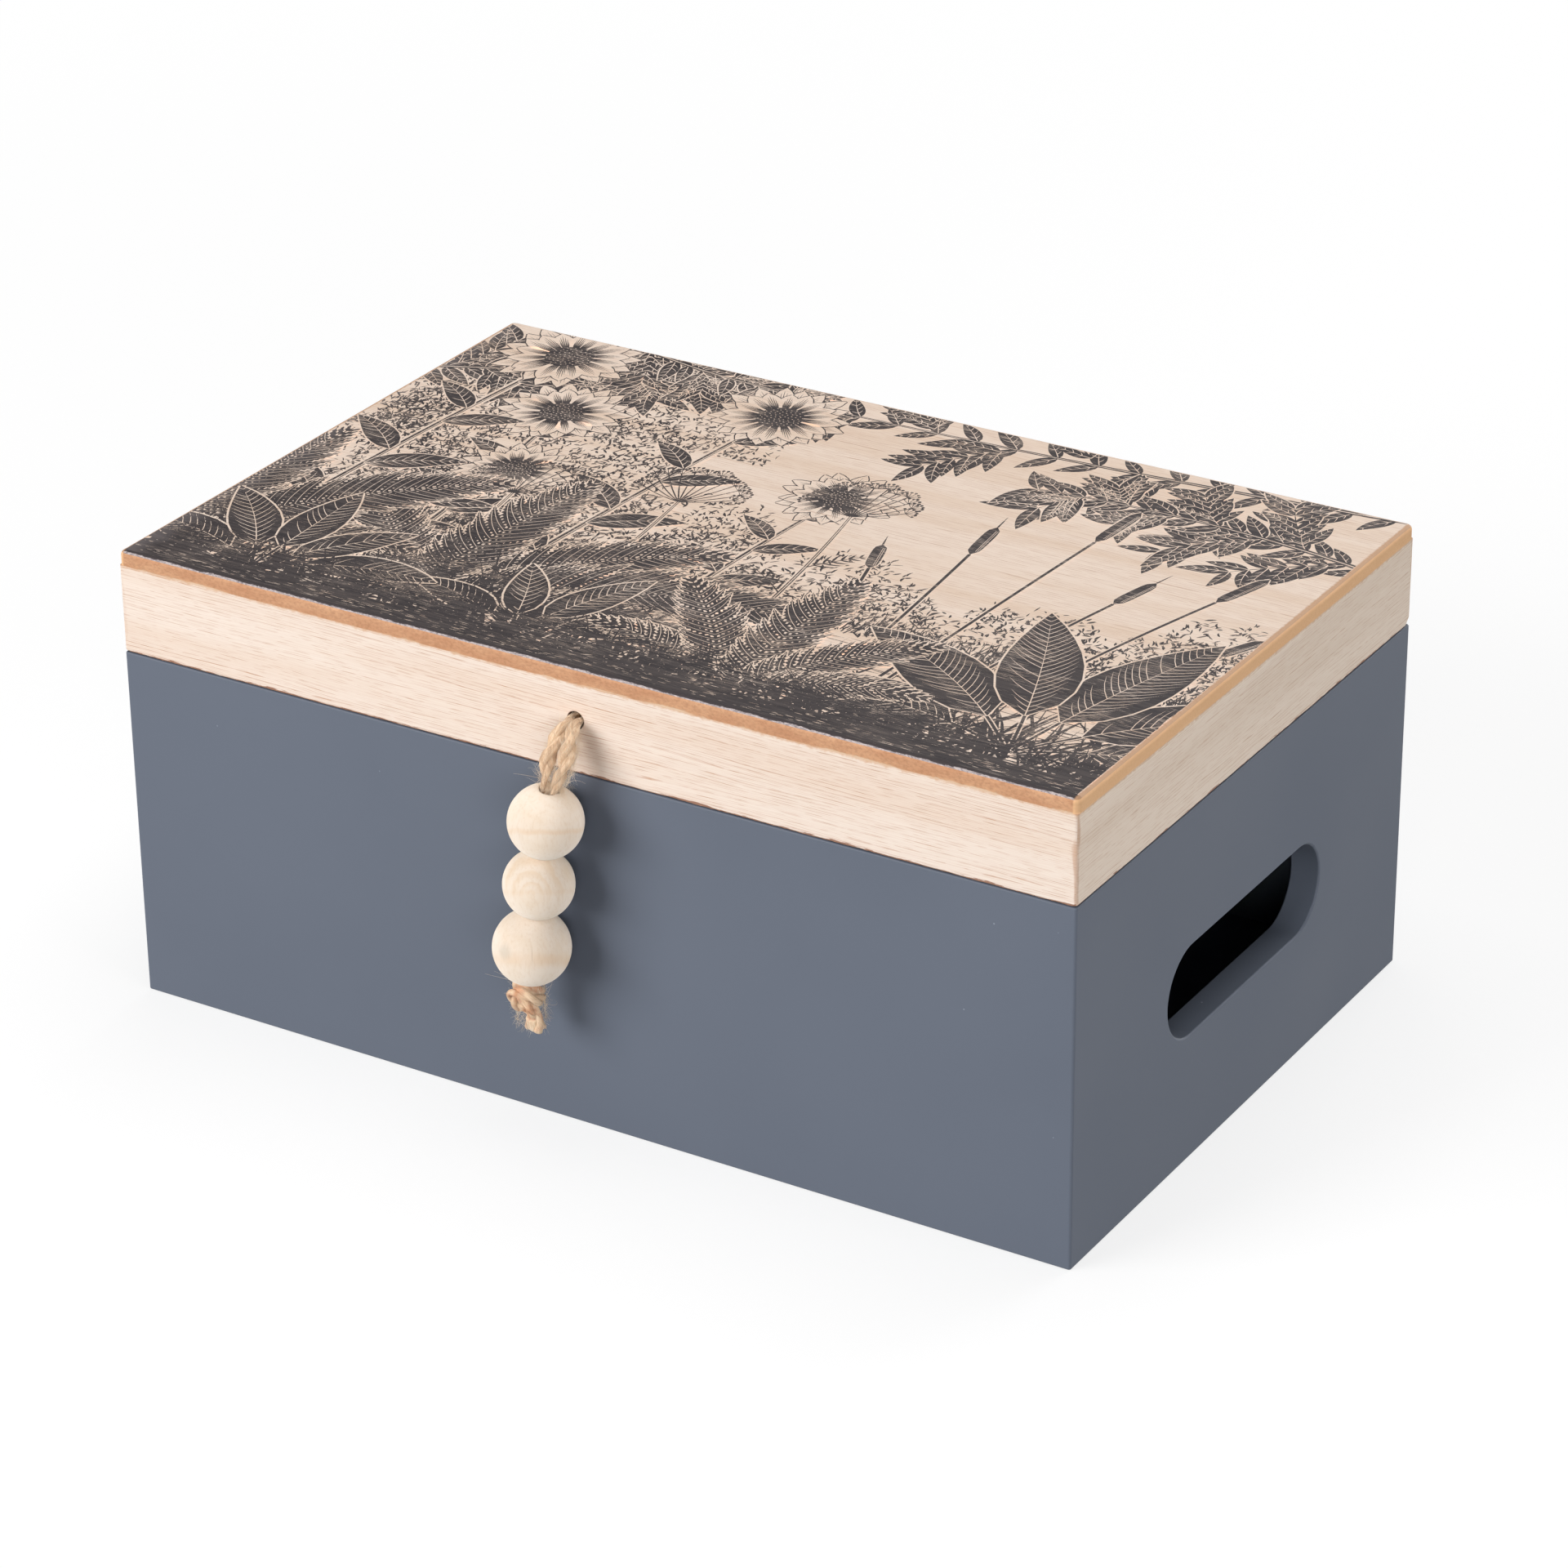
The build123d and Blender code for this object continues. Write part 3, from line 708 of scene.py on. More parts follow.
def draw_blades(art, left, right, foot, height, count, lean, width):
    """Grass blades between left and right, rising from foot."""
    art.motif()
    for _ in range(count):
        base = (art.uniform(left, right), foot + art.uniform(-3, 3))
        blade_lean = art.uniform(-lean, lean)
        line, _ = arc(base, 90 + blade_lean, art.vary(height, 0.4), blade_lean * 1.6, 6)
        start = art.vary(width, 0.3)
        art.stroke(line, [start * (1 - (number / 6) ** 1.6) for number in range(7)])


def draw_umbel(art, base, heading, height, bend, crown):
    """A wild umbel: a ribbed stem, rays and small flower heads, and a few side leaves."""
    art.motif()
    line, headings = arc(base, heading, height, bend, 12)
    art.stroke(line, tapered(2.6, 0.06, 13), 0.0, bare=True)
    art.stroke(line, tapered(1.5, 0.06, 13))
    art.stroke(line, [0.3] * 13, 0.8, bare=True)
    for index, side in ((4, -1), (6, 1), (8, -1)):
        draw_small_spray(art, line[index], headings[index] + side * 40, height * 0.2, side * 15)
    top, up = line[-1], headings[-1]
    rays = 13
    for number in range(rays):
        fan = (number / (rays - 1) - 0.5) * 150
        reach = crown * (1 - 0.25 * abs(fan / 75) ** 2) * art.uniform(0.92, 1.05)
        ray, ray_headings = arc(top, up + fan, reach, -fan * 0.28, 5)
        art.stroke(ray, [0.42] * 6)
        for twig in range(7):
            splay = (twig / 6 - 0.5) * 150
            small, _ = arc(ray[-1], ray_headings[-1] + splay, crown * 0.15, 0, 2)
            art.stroke(small, [0.22] * 3)
            dot, _ = arc(small[-1], up, art.vary(1.0, 0.25), 0, 3)
            art.stroke(dot, [0.45, 0.95, 0.95, 0.45])


def draw_small_spray(art, base, heading, length, bend):
    """A short feathery leaf."""
    line, headings = arc(base, heading, length, bend, 8)
    art.stroke(line, tapered(0.5, 0.04, 9))
    for index in range(1, 8):
        reach = length * 0.34 * (1 - index / 9)
        for side in (-1, 1):
            lobe, _ = arc(line[index], headings[index] + side * 50, reach, -side * 20, 3)
            art.stroke(lobe, [0.35, 0.8, 0.6, 0.1])


def draw_reed(art, base, heading, height, bend):
    """A reed mace: its stem, brown head and spike."""
    art.motif()
    line, headings = arc(base, heading, height, bend, 10)
    art.stroke(line, [1.9] * 11, 0.0, bare=True)
    art.stroke(line, [0.95] * 11)
    head, head_headings = arc(line[-1], headings[-1], height * 0.19, bend * 0.1, 8)
    blunt = rounded(4, power=4)
    art.stroke(head, [3.9 * value + 0.9 for value in blunt], 0.0, bare=True)
    art.stroke(head, [3.9 * value for value in blunt])
    for offset in (0.7, 1.25):
        shine = [point + Vector((offset, 0)) for point in head[1:-1]]
        art.stroke(shine, [0.16] * len(shine), 0.8, bare=True)
    spike, _ = arc(head[-1], head_headings[-1], height * 0.07, 0, 2)
    art.stroke(spike, [0.6, 0.4, 0.1])


def draw_side_leaves(art, base, heading, turns, sway, leaf, slenderness):
    """A leaf at each turn from the heading, give or take sway."""
    for turn in turns:
        slant = heading + turn + art.uniform(-sway, sway)
        size = art.vary(leaf, 0.2)
        draw_leaf(art, base, slant, size, size * slenderness, art.uniform(-25, 25))


def draw_bough(art, base, heading, length, bend, leaf):
    """A leafy bough: a rough twig with side twigs and leaves on both sides."""
    art.motif()
    steps = 16
    line, headings = arc(base, heading, length, bend, steps)
    for index in range(1, steps + 1):
        if index % 2 == 0 and index < steps - 1:
            art.motif()
            side = 1 if index % 4 else -1
            reach = length * 0.30 * (1.1 - index / steps)
            twig, twig_headings = arc(line[index], headings[index] + side * 42, reach, side * 14, 6)
            art.stroke(twig, tapered(0.8, 0.1, 7))
            for number in range(1, 7):
                draw_side_leaves(art, twig[number], twig_headings[number], (-44, 40), 12, leaf, 0.33)
        draw_side_leaves(art, line[index], headings[index], (-50, 46), 14, leaf, 0.34)
    art.motif()
    art.stroke(line, [2.4 - 1.7 * number / steps for number in range(steps + 1)], 0.1)
    art.stroke(line, [0.5 - 0.3 * number / steps for number in range(steps + 1)], 0.8, bare=True)


def draw_broad_plant(art, base, heading, size, count, fan):
    """Broad leaves fanning out from one foot, the middle ones in front."""
    order = sorted(range(count), key=lambda number: -abs(number - (count - 1) / 2))
    for number in order:
        art.motif()
        lean = (number / (count - 1) - 0.5) * fan
        length = art.vary(size, 0.12)
        stalk, headings = arc(base, heading + lean, length * 0.35, lean * 0.25, 5)
        art.stroke(stalk, [1.7] * 6, 0.0, bare=True)
        art.stroke(stalk, [0.9] * 6)
        draw_leaf(art, stalk[-1], headings[-1], length, length * 0.36, lean * 0.7, halo=1.2)


def draw_ground(art):
    """The dark bank along the front: a solid band under tangled strokes with bare scratches."""
    art.motif(5)
    steps = 150
    width = print_right - print_left
    line = [(print_left + width * number / steps, -95.0) for number in range(steps + 1)]
    art.stroke(line, [13 + 6.0 * wave(x * 0.06, 0, 0) for x, _ in line])
    for _ in range(1700):
        x = art.uniform(print_left, print_right)
        rise = art.chance.random() ** 2
        y = -92 + 18 * rise + 3 * wave(x * 0.03, 5, 0)
        strand, _ = arc((x, y), art.uniform(-12, 12), art.uniform(3, 14), art.uniform(-20, 20), 4)
        thick = art.uniform(0.35, 1.1) * (1.2 - rise)
        art.stroke(strand, [0.1, thick, thick, thick * 0.8, 0.1], art.uniform(0, 4))
    for _ in range(900):
        x = art.uniform(-149, 149)
        y = -96 + 16 * art.chance.random() ** 1.3
        scratch, _ = arc((x, y), art.uniform(-3, 3), art.uniform(0.5, 3.2), 0, 3)
        thick = art.uniform(0.05, 0.17)
        art.stroke(scratch, [0.04, thick, thick, 0.04], 4.7, bare=True)


def draw_water(art):
    """Still water and a far shore of thin reeds behind the plants."""
    for _ in range(330):
        x = art.uniform(print_left, print_right)
        y = art.uniform(-78, -40)
        ripple, _ = arc((x, y), art.uniform(-2, 2), art.uniform(5, 24), 0, 4)
        thick = art.uniform(0.15, 0.5)
        art.stroke(ripple, [0.05, thick, thick, thick, 0.05])
    for _ in range(700):
        x = art.uniform(print_left, print_right)
        swell = 10 + 9 * wave(x * 0.025, 9, 0)
        reed, _ = arc((x, -40 + art.uniform(-2, 2)), 90 + art.uniform(-9, 9),
                      swell * art.uniform(0.4, 1.2), art.uniform(-30, 30), 4)
        art.stroke(reed, [0.45, 0.4, 0.35, 0.25, 0.05])


def draw_thicket(art, middle, foot, width, height, count):
    """Distant leaves: short curved strokes, closer together towards the foot and the right."""
    art.motif()
    for _ in range(count):
        turn = art.uniform(0, pi)
        out = art.chance.random() ** 0.6
        x = middle + width / 2 * out * cos(turn)
        y = foot + height * out * sin(turn) * (1 + 0.25 * wave(x * 0.15, foot, 0))
        clump = wave(x * 0.09, y * 0.09, foot)
        dark = 0.35 + 0.2 * cos(turn) - 0.35 * (y - foot) / height + 0.9 * clump
        if art.chance.random() > 0.55 + dark:
            continue
        heading = art.uniform(20, 160)
        length = art.uniform(1.2, 3.4)
        tuft, _ = arc((x, y), heading, length, art.uniform(-70, 70), 3)
        thick = art.uniform(0.3, 0.85)
        art.stroke(tuft, [0.1, thick, thick * 0.9, 0.1])


def draw_petal(art, base, heading, length, width, bend):
    """A light petal: bare inside an inked edge, with fine inked lines towards its tip."""
    steps = 7
    line, _ = arc(base, heading, length, bend, steps)
    widths = leaf_widths(width, steps, 0.58)
    art.stroke(line, [value + 0.85 for value in widths], 0.1)
    art.stroke(line, widths, 0.45, bare=True)
    for turn, reach in ((0, 0.86), (-6, 0.78), (6, 0.78), (-12, 0.66), (12, 0.66), (-18, 0.5), (18, 0.5)):
        crease, _ = arc(base, heading + turn, length * reach, bend * 0.6 - turn * 0.8, 4)
        art.stroke(crease, [0.50, 0.42, 0.34, 0.24, 0.06], 0.85)


def draw_blossom(art, base, heading, height, bend, petal):
    """A tall daisy: its stem with paired leaves, two rings of petals and a seeded disc."""
    art.motif()
    line, headings = arc(base, heading, height, bend, 14)
    art.stroke(line, [3.2] * 15, 0.0, bare=True)
    art.stroke(line, tapered(1.8, 0.04, 15))
    art.stroke([point + Vector((0.25, 0)) for point in line], [0.3] * 15, 0.8, bare=True)
    for index, side in ((3, -1), (4, 1), (6, -1), (7, 1), (9, -1), (10, 1), (12, -1)):
        art.motif()
        size = petal * (1.9 - 0.08 * index)
        draw_leaf(art, line[index], headings[index] + side * 44, size, size * 0.34, side * 26)
    top = line[-1]
    for share, start in ((1.0, 0.0), (0.78, 10.0)):
        art.motif()
        count = 18
        for number in range(count):
            turn = start + 360 * number / count + art.uniform(-3, 3)
            inner = top + flat_direction(radians(turn)) * petal * 0.2
            reach = petal * share * art.uniform(0.82, 0.95)
            draw_petal(art, inner, turn, reach, petal * 0.30, art.uniform(-12, 12))
    art.motif()
    disc = petal * 0.36
    across = [Vector((top.x - disc + disc * number / 6, top.y)) for number in range(13)]
    art.stroke(across, [2 * disc * height for height in rounded(6)], 0.1)
    for seed_number in range(70):
        turn = seed_number * golden_angle
        place = top + flat_direction(turn) * disc * 0.94 * sqrt(seed_number / 70)
        dot, _ = arc(place, 0, 0.42, 0, 2)
        art.stroke(dot, [0.16, 0.4, 0.16], 0.8, bare=True)


def add_print():
    """The whole print, from the far shore to the bank in front."""
    art = Engraving(12)
    draw_water(art)
    for middle, foot, width, height, count in (
        (-126, -44, 66, 96, 3400), (-78, -44, 84, 104, 4200), (-20, -44, 70, 60, 2100),
        (34, -44, 70, 44, 1500), (92, -44, 64, 40, 1200), (138, -44, 54, 56, 1500),
        (-142, 8, 44, 70, 1400), (-60, 40, 70, 40, 900),
    ):
        draw_thicket(art, middle, foot, width, height, count)
    draw_bough(art, (158, 98), 187, 205, -7, 15)
    draw_bough(art, (-158, 52), 28, 96, -22, 16)
    draw_bough(art, (-120, 104), -22, 84, 26, 15)
    draw_bough(art, (160, 60), 166, 112, 22, 14)
    for x, lean, height, bend, petal in (
        (-84, 92, 132, 8, 19), (-128, 90, 168, -6, 21), (-52, 88, 160, -4, 20), (-104, 84, 92, -10, 16),
        (0, 92, 118, -8, 17),
    ):
        draw_blossom(art, (x, -86), lean, height, bend, petal)
    for x, height, bend in ((-26, 92, 6), (26, 108, 10), (-70, 74, 8)):
        draw_umbel(art, (x, -84), 92, height, bend, 21)
    for x, height, lean in (
        (62, 104, 3), (73, 128, -2), (88, 96, -6), (52, 84, 8), (103, 112, -8), (116, 84, -12),
    ):
        draw_reed(art, (x, -86), 90 + lean, height, lean)
    draw_fern(
        art, (-66, -84), ((66, 96, -40), (46, 118, -50), (28, 92, -40), (118, 84, 30), (92, 92, -10)),
    )
    draw_fern(art, (-148, -82), ((64, 104, -30), (92, 88, -10), (40, 76, -40)))
    draw_blades(art, print_left, print_right, -86, 38, 330, 26, 1.2)
    draw_broad_plant(art, (122, -84), 94, 60, 8, 160)
    draw_broad_plant(art, (-28, -88), 92, 34, 6, 150)
    draw_broad_plant(art, (-112, -88), 92, 40, 7, 150)
    draw_fern(
        art, (38, -88), ((140, 58, 40), (118, 70, 20), (92, 76, -4), (66, 66, -28), (42, 58, -40)),
    )
    draw_ground(art)
    draw_blades(art, print_left, print_right, -88, 19, 420, 34, 1.0)
    made = art.piece("lid_print")
    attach(made, "lid")


add_print()


# Pull
def smooth_line(points, steps):
    """Points along the smooth line that a route's points control."""
    curve = bpy.data.curves.new("route", "CURVE")
    curve.dimensions = "3D"
    curve.resolution_u = steps
    spline = curve.splines.new("NURBS")
    spline.points.add(len(points) - 1)
    for place, point in zip(spline.points, points):
        place.co = (*point, 1)
    spline.order_u = 3
    spline.use_endpoint_u = True
    holder = bpy.data.objects.new("route", curve)
    mesh = bpy.data.meshes.new_from_object(holder)
    line = [vertex.co.copy() for vertex in mesh.vertices]
    bpy.data.objects.remove(holder)
    bpy.data.meshes.remove(mesh)
    bpy.data.curves.remove(curve)
    return line


def lengths_along(line):
    """The length of the line up to each of its points."""
    lengths = [0.0]
    for before, after in zip(line, line[1:]):
        lengths.append(lengths[-1] + (after - before).length)
    return lengths


def evenly(line, step):
    """The line again, with its points step apart."""
    lengths = lengths_along(line)
    count = max(2, round(lengths[-1] / step))
    spaced = []
    index = 0
    for number in range(count + 1):
        target = lengths[-1] * number / count
        while index < len(line) - 2 and lengths[index + 1] < target:
            index += 1
        run = lengths[index + 1] - lengths[index]
        share = (target - lengths[index]) / run if run else 0
        spaced.append(line[index].lerp(line[index + 1], share))
    return spaced


def frames_along(line, first_side):
    """For each point its direction and a side vector that doesn't twist about the line."""
    directions = []
    for index in range(len(line)):
        before = line[max(index - 1, 0)]
        after = line[min(index + 1, len(line) - 1)]
        directions.append((after - before).normalized())
    side = first_side
    result = []
    for direction in directions:
        side = (side - direction * side.dot(direction)).normalized()
        result.append((direction, side, direction.cross(side)))
    return result


class Tubes:
    """One mesh of many tubes, with a map whose first axis runs round and second along each."""

    def __init__(self):
        self.corners = []
        self.faces = []
        self.map = []

    def tube(self, line, radii, sides, first_side=Vector((1, 0, 0)), rough=0.0, seed=0.0,
             around=0.0, tint=0.0):
        """A tube on a line; rough is the share of its ridges in the radius, tint shifts the map."""
        start = len(self.corners)
        rings = lengths_along(line)
        for index, (_, side, other) in enumerate(frames_along(line, first_side)):
            for number in range(sides):
                angle = tau * number / sides
                radius = radii[index]
                if rough:
                    along = rings[index] / mm * 0.35 + seed
                    radius *= 1 + rough * wave(cos(angle) * 2.2, sin(angle) * 2.2, along)
                self.corners.append(line[index] + turned(side, other, angle) * radius)
        around = around or tau * max(radii)
        for index in range(len(line) - 1):
            for number in range(sides):
                low = start + index * sides
                high = low + sides
                following = (number + 1) % sides
                self.faces.append((low + number, low + following, high + following, high + number))
                left, right = tint + number / sides, tint + (number + 1) / sides
                bottom, top = rings[index] / around, rings[index + 1] / around
                self.map += [(left, bottom), (right, bottom), (right, top), (left, top)]
        for ring, order in ((0, -1), (len(line) - 1, 1)):
            corners = [start + ring * sides + number for number in range(sides)][::order]
            self.faces.append(corners)
            self.map += [(0.5, rings[ring] / around)] * sides

    def piece(self, name, material):
        """The tubes as one object."""
        made = new_piece(name, self.corners, self.faces, [material])
        layer = made.data.uv_layers.new(name="fibres")
        for loop, place in zip(layer.data, self.map):
            loop.uv = place
        return made


ply_pitch = 15 * mm
ply_offset_share = 0.46
ply_radius_share = 0.60


def add_plies(tubes, line, half_widths, first_side, phase, sides=14):
    """The two plies of one strand, wound about its line."""
    lines = ([], [])
    walked = lengths_along(line)
    for index, (_, side, other) in enumerate(frames_along(line, first_side)):
        for ply, ply_line in enumerate(lines):
            angle = phase + tau * walked[index] / ply_pitch + pi * ply
            away = half_widths[index] * ply_offset_share
            ply_line.append(line[index] + turned(side, other, angle) * away)
    for ply, ply_line in enumerate(lines):
        radii = [half * ply_radius_share for half in half_widths]
        tubes.tube(ply_line, radii, sides, first_side, rough=0.14, seed=phase + 5 * ply)


def add_surface_fibres(tubes, line, half_widths, first_side, phase, count, seed):
    """Fine fibres along both plies of one strand, each over a part of its length."""
    chance = Random(seed)
    frames = frames_along(line, first_side)
    walked = lengths_along(line)
    for number in range(count):
        ply = number % 2
        first = chance.randrange(-8, len(line) - 8)
        last = min(first + chance.randint(14, 44), len(line))
        first = max(first, 0)
        own_angle = chance.uniform(0, tau)
        lift = chance.uniform(0.90, 1.10)
        points = []
        for index in range(first, last):
            _, side, other = frames[index]
            turn = tau * walked[index] / ply_pitch
            ply_angle = phase + turn + pi * ply
            sway = wave(number * 3.7, seed, walked[index] / mm * 0.25)
            angle = own_angle - 1.4 * turn + 0.9 * sway
            reach = half_widths[index] * ply_radius_share * (lift + 0.10 * sway)
            away = half_widths[index] * ply_offset_share
            middle = line[index] + turned(side, other, ply_angle) * away
            points.append(middle + turned(side, other, angle) * reach)
        if len(points) < 4:
            continue
        thick = chance.uniform(0.05, 0.12) * mm
        span = len(points) - 1
        radii = [thick * (0.35 + 0.65 * sin(pi * place / span)) for place in range(span + 1)]
        tubes.tube(points, radii, 4, first_side, around=6 * mm, tint=chance.uniform(0, 40))


blend_end = string_top + string_up * 3 * mm

# The cord's way down from its mouth, and how far each strand bows out on it, in millimetres
fall_from_mouth = ((0, 0, 0), (0, -3.0, 0), (-0.4, -6.0, -4.2), (-0.9, -9.1, -9.2))
bows = {-1: (0.0, -0.3, 0.5, 0.9, 0.2, 0.0), 1: (0.0, 0.0, 1.5, 1.9, 0.9, 0.0)}


def strand_points(side):
    """Route points of one strand from the mouth to the end knot; the two bow apart below the mouth."""
    drop = [cord_mouth + Vector(step) * mm for step in fall_from_mouth] + [blend_end, string_top]
    drop = [point + string_side * side * mm * bow for point, bow in zip(drop, bows[side])]
    hanging = [string_top.lerp(knot_seat, share) for share in (0.2, 0.5, 0.8, 1)]
    return [point + strand_offset * side for point in drop + hanging]


def strand_half_width(walked):
    """Half the strand's width after that length from the mouth: fuller where it hangs free."""
    free = max(0.0, sin(pi * min(walked / (19.0 * mm), 1)))
    return cord_diameter / 2 * (1.0 + 0.85 * free)


strand_finish = jute("jute", 1, (216, 175, 136), 0.3, (190, 144, 108))
# Painted light: the knot's jute is a paler copy of the cord's jute, brightened against the shade among the
# knot's own fibres.
knot_jute_painted_lighter = jute("jute_knot", 4, (234, 198, 160), 0.6, (208, 130, 80))
strands = []
for name, side in (("left", -1), ("right", 1)):
    phase = 0.9 + 0.8 * side
    line = evenly(smooth_line(strand_points(side), 24), 0.4 * mm)
    walked = lengths_along(line)
    widths = [strand_half_width(length) for length in walked]
    tubes = Tubes()
    add_plies(tubes, line, widths, string_side, phase)
    add_surface_fibres(tubes, line[:66], widths, string_side, phase, 260, 20 + side)
    strand = tubes.piece("pull_strand_" + name, strand_finish)
    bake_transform(strand)
    strands.append((strand, line, walked[-1]))

tubes = Tubes()
for side in (-1, 1):
    line = evenly([end + strand_offset * side for end in (cord_mouth, rail_inside)], 0.5 * mm)
    add_plies(tubes, line, [cord_diameter / 2] * len(line), string_side, phase=pi - 0.9 - 0.8 * side)
in_rail = tubes.piece("pull_strands_in_rail", strand_finish)
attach(in_rail, "cord_swivel")
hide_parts("pull_cord_in_rail")


# The shape of both knots, in millimetres: the route goes across, down and outward
tail_points = 12
strand_apart = 1.25
tail_opening = 0.35
knot_half_width = 1.48
tail_fullness = 0.5
knot_turns = (
    (0, 0, 0), (0.4, 2.5, -1.2), (0.8, 5.5, -2.0), (-0.9, 8.0, -0.8), (-2.6, 7.2, 1.0), (-3.0, 4.4, 1.9),
    (-2.0, 2.0, 2.6), (0.8, 1.4, 3.0), (3.2, 2.4, 2.0), (3.9, 3.8, -0.4), (2.6, 4.6, -2.5),
    (-0.4, 4.8, -2.8), (-2.2, 5.4, -0.6), (-0.8, 5.6, 1.9), (1.8, 6.0, 2.6), (3.3, 8.2, 1.6),
    (3.9, 10.8, 0.8), (4.4, 13.5, 0.4),
)


def add_knot(node, body, seat, down, across, outward):
    """The pull's overhand knot with its cut tail, in place of the CAD's plain one."""
    tubes = Tubes()
    middle = [
        seat + (across * right + down * fall + outward * front) * mm for right, fall, front in knot_turns
    ]
    middle = evenly(smooth_line(middle, 10), 0.35 * mm)
    frames = frames_along(middle, across)
    frayed = [max(0.0, (number - len(middle) + tail_points) / tail_points) for number in range(len(middle))]
    half_widths = [(knot_half_width + tail_fullness * share) * mm for share in frayed]
    for side in (-1, 1):
        line = [
            point + beside * side * (strand_apart + tail_opening * share) * mm
            for point, (_, beside, _), share in zip(middle, frames, frayed)
        ]
        add_plies(tubes, line, half_widths, across, phase=1.1 * side, sides=12)
        add_surface_fibres(tubes, line, half_widths, across, 1.1 * side, 420, 30 + side)
    core = [seat + (across * 0.5 + down * (1.0 + 0.9 * number)) * mm for number in range(9)]
    core_radius = 3.3 * mm
    core_radii = [core_radius * height for height in rounded(4, least=0.06)]
    tubes.tube(core, core_radii, 18, across, rough=0.1)
    tail = evenly(middle[-tail_points:], 0.4 * mm)
    tail_radius = 2.2 * mm
    tail_radii = [tail_radius] * (len(tail) - 1) + [tail_radius - 0.2 * mm]
    tubes.tube(tail, tail_radii, 26, across, rough=0.16, seed=4)
    knot = tubes.piece(node + "_strands", knot_jute_painted_lighter)
    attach(knot, body)
    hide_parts(node)
    return knot


upward = Vector((0, 0, 1))
end_knot = add_knot("end_knot", "pull", knot_seat, -string_up, string_side, toward_front)
add_knot("inner_knot", "cord_swivel", rail_inside, -toward_front, string_side, upward)


def add_loose_fibres(name, lines, count, reach, seed, strays=()):
    """Fine fibres that stand off lines, each curled its own way; strays are single long ones."""
    chance = Random(seed)
    tubes = Tubes()

    def grow(start, heading, length, curl):
        """One loose fibre, which bends by that curl in all."""
        turn = Vector([chance.gauss(0, 1) for _ in range(3)]).normalized()
        line = [start]
        steps = 7
        for number in range(steps):
            heading = (Quaternion(turn, curl / steps) @ heading).normalized()
            line.append(line[-1] + heading * length / steps)
        thick = chance.uniform(0.018, 0.032) * mm if length < 5.5 * mm else 0.045 * mm
        tubes.tube(line, [thick * (1 - 0.6 * number / steps) for number in range(steps + 1)], 3)

    for _ in range(count):
        line, half_width = chance.choice(lines)
        index = chance.randrange(1, len(line) - 1)
        forward = (line[index + 1] - line[index - 1]).normalized()
        aside = Vector([chance.gauss(0, 1) for _ in range(3)])
        aside = (aside - forward * aside.dot(forward)).normalized()
        heading = forward * chance.choice((-1, 1)) + aside * chance.uniform(0.2, 0.9)
        length = reach * (0.22 + chance.random() ** 2.5)
        grow(line[index] + aside * half_width * 0.9, heading.normalized(), length, chance.uniform(0.3, 1.6))
    for start, heading, length, curl in strays:
        grow(start, Vector(heading).normalized(), length, curl)
    return tubes.piece(name, loose_fibres)


loose_fibres = loose_jute()
left_strand, right_strand = [line for _, line, _ in strands]
free_lines = [(line[4:58], cord_diameter * 0.80) for line in (left_strand, right_strand)]
right_line = (right_strand[8:56], cord_diameter * 0.85)
right_side = ([point + string_side * 1.2 * mm for point in right_strand[10:56]], cord_diameter * 0.60)
drop_fuzz = add_loose_fibres(
    "pull_fuzz", free_lines * 2 + [right_line] * 3 + [right_side] * 3, 1900, 4.8 * mm, 5,
    strays=(
        (left_strand[46], (-1.0, -0.1, 0.05), 10 * mm, 0.5),
        (left_strand[46], (-1.0, -0.2, 0.25), 6 * mm, 0.9),
        (right_strand[48], (1.0, -0.4, -0.1), 7 * mm, 3.4),
        (right_strand[44], (1.0, -0.2, 0.3), 6 * mm, 2.2),
    ),
)
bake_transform(drop_fuzz)
knot_core = [knot_seat + (string_side * (0.5 + 0.16 * fall) - string_up * fall) * mm for fall in range(14)]
knot_left = knot_core[2] - string_side * 3 * mm
knot_right = knot_core[2] + string_side * 3 * mm
knot_fuzz = add_loose_fibres(
    "end_knot_fuzz", [(knot_core, 4.1 * mm)], 1100, 3.8 * mm, 8,
    strays=(
        (knot_left, (-1.0, -0.5, 0.30), 10 * mm, 0.5),
        (knot_left, (-1.0, -0.4, 0.42), 8 * mm, 0.7),
        (knot_left, (-1.0, -0.7, 0.12), 6 * mm, 0.9),
        (knot_right, (1.0, -0.3, 0.5), 8 * mm, 2.2),
        (knot_core[4] + string_side * 4 * mm, (1.0, -0.4, 0.8), 7 * mm, 1.2),
        (knot_core[5] + string_side * 4 * mm, (1.0, -0.3, -0.3), 7 * mm, 2.8),
        (knot_core[12], (-0.1, -0.2, -1.0), 4.6 * mm, 0.5),
        (knot_core[12], (0.1, -0.1, -1.0), 4.2 * mm, 0.9),
        (knot_core[12], (-0.2, -0.2, -1.0), 3.6 * mm, 1.2),
    ),
)
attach(knot_fuzz, "pull")

for strand, line, length in strands:
    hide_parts("pull_cord_drop", "pull_cord_in_beads")


# Stage, light and camera
white = (1, 1, 1, 1)


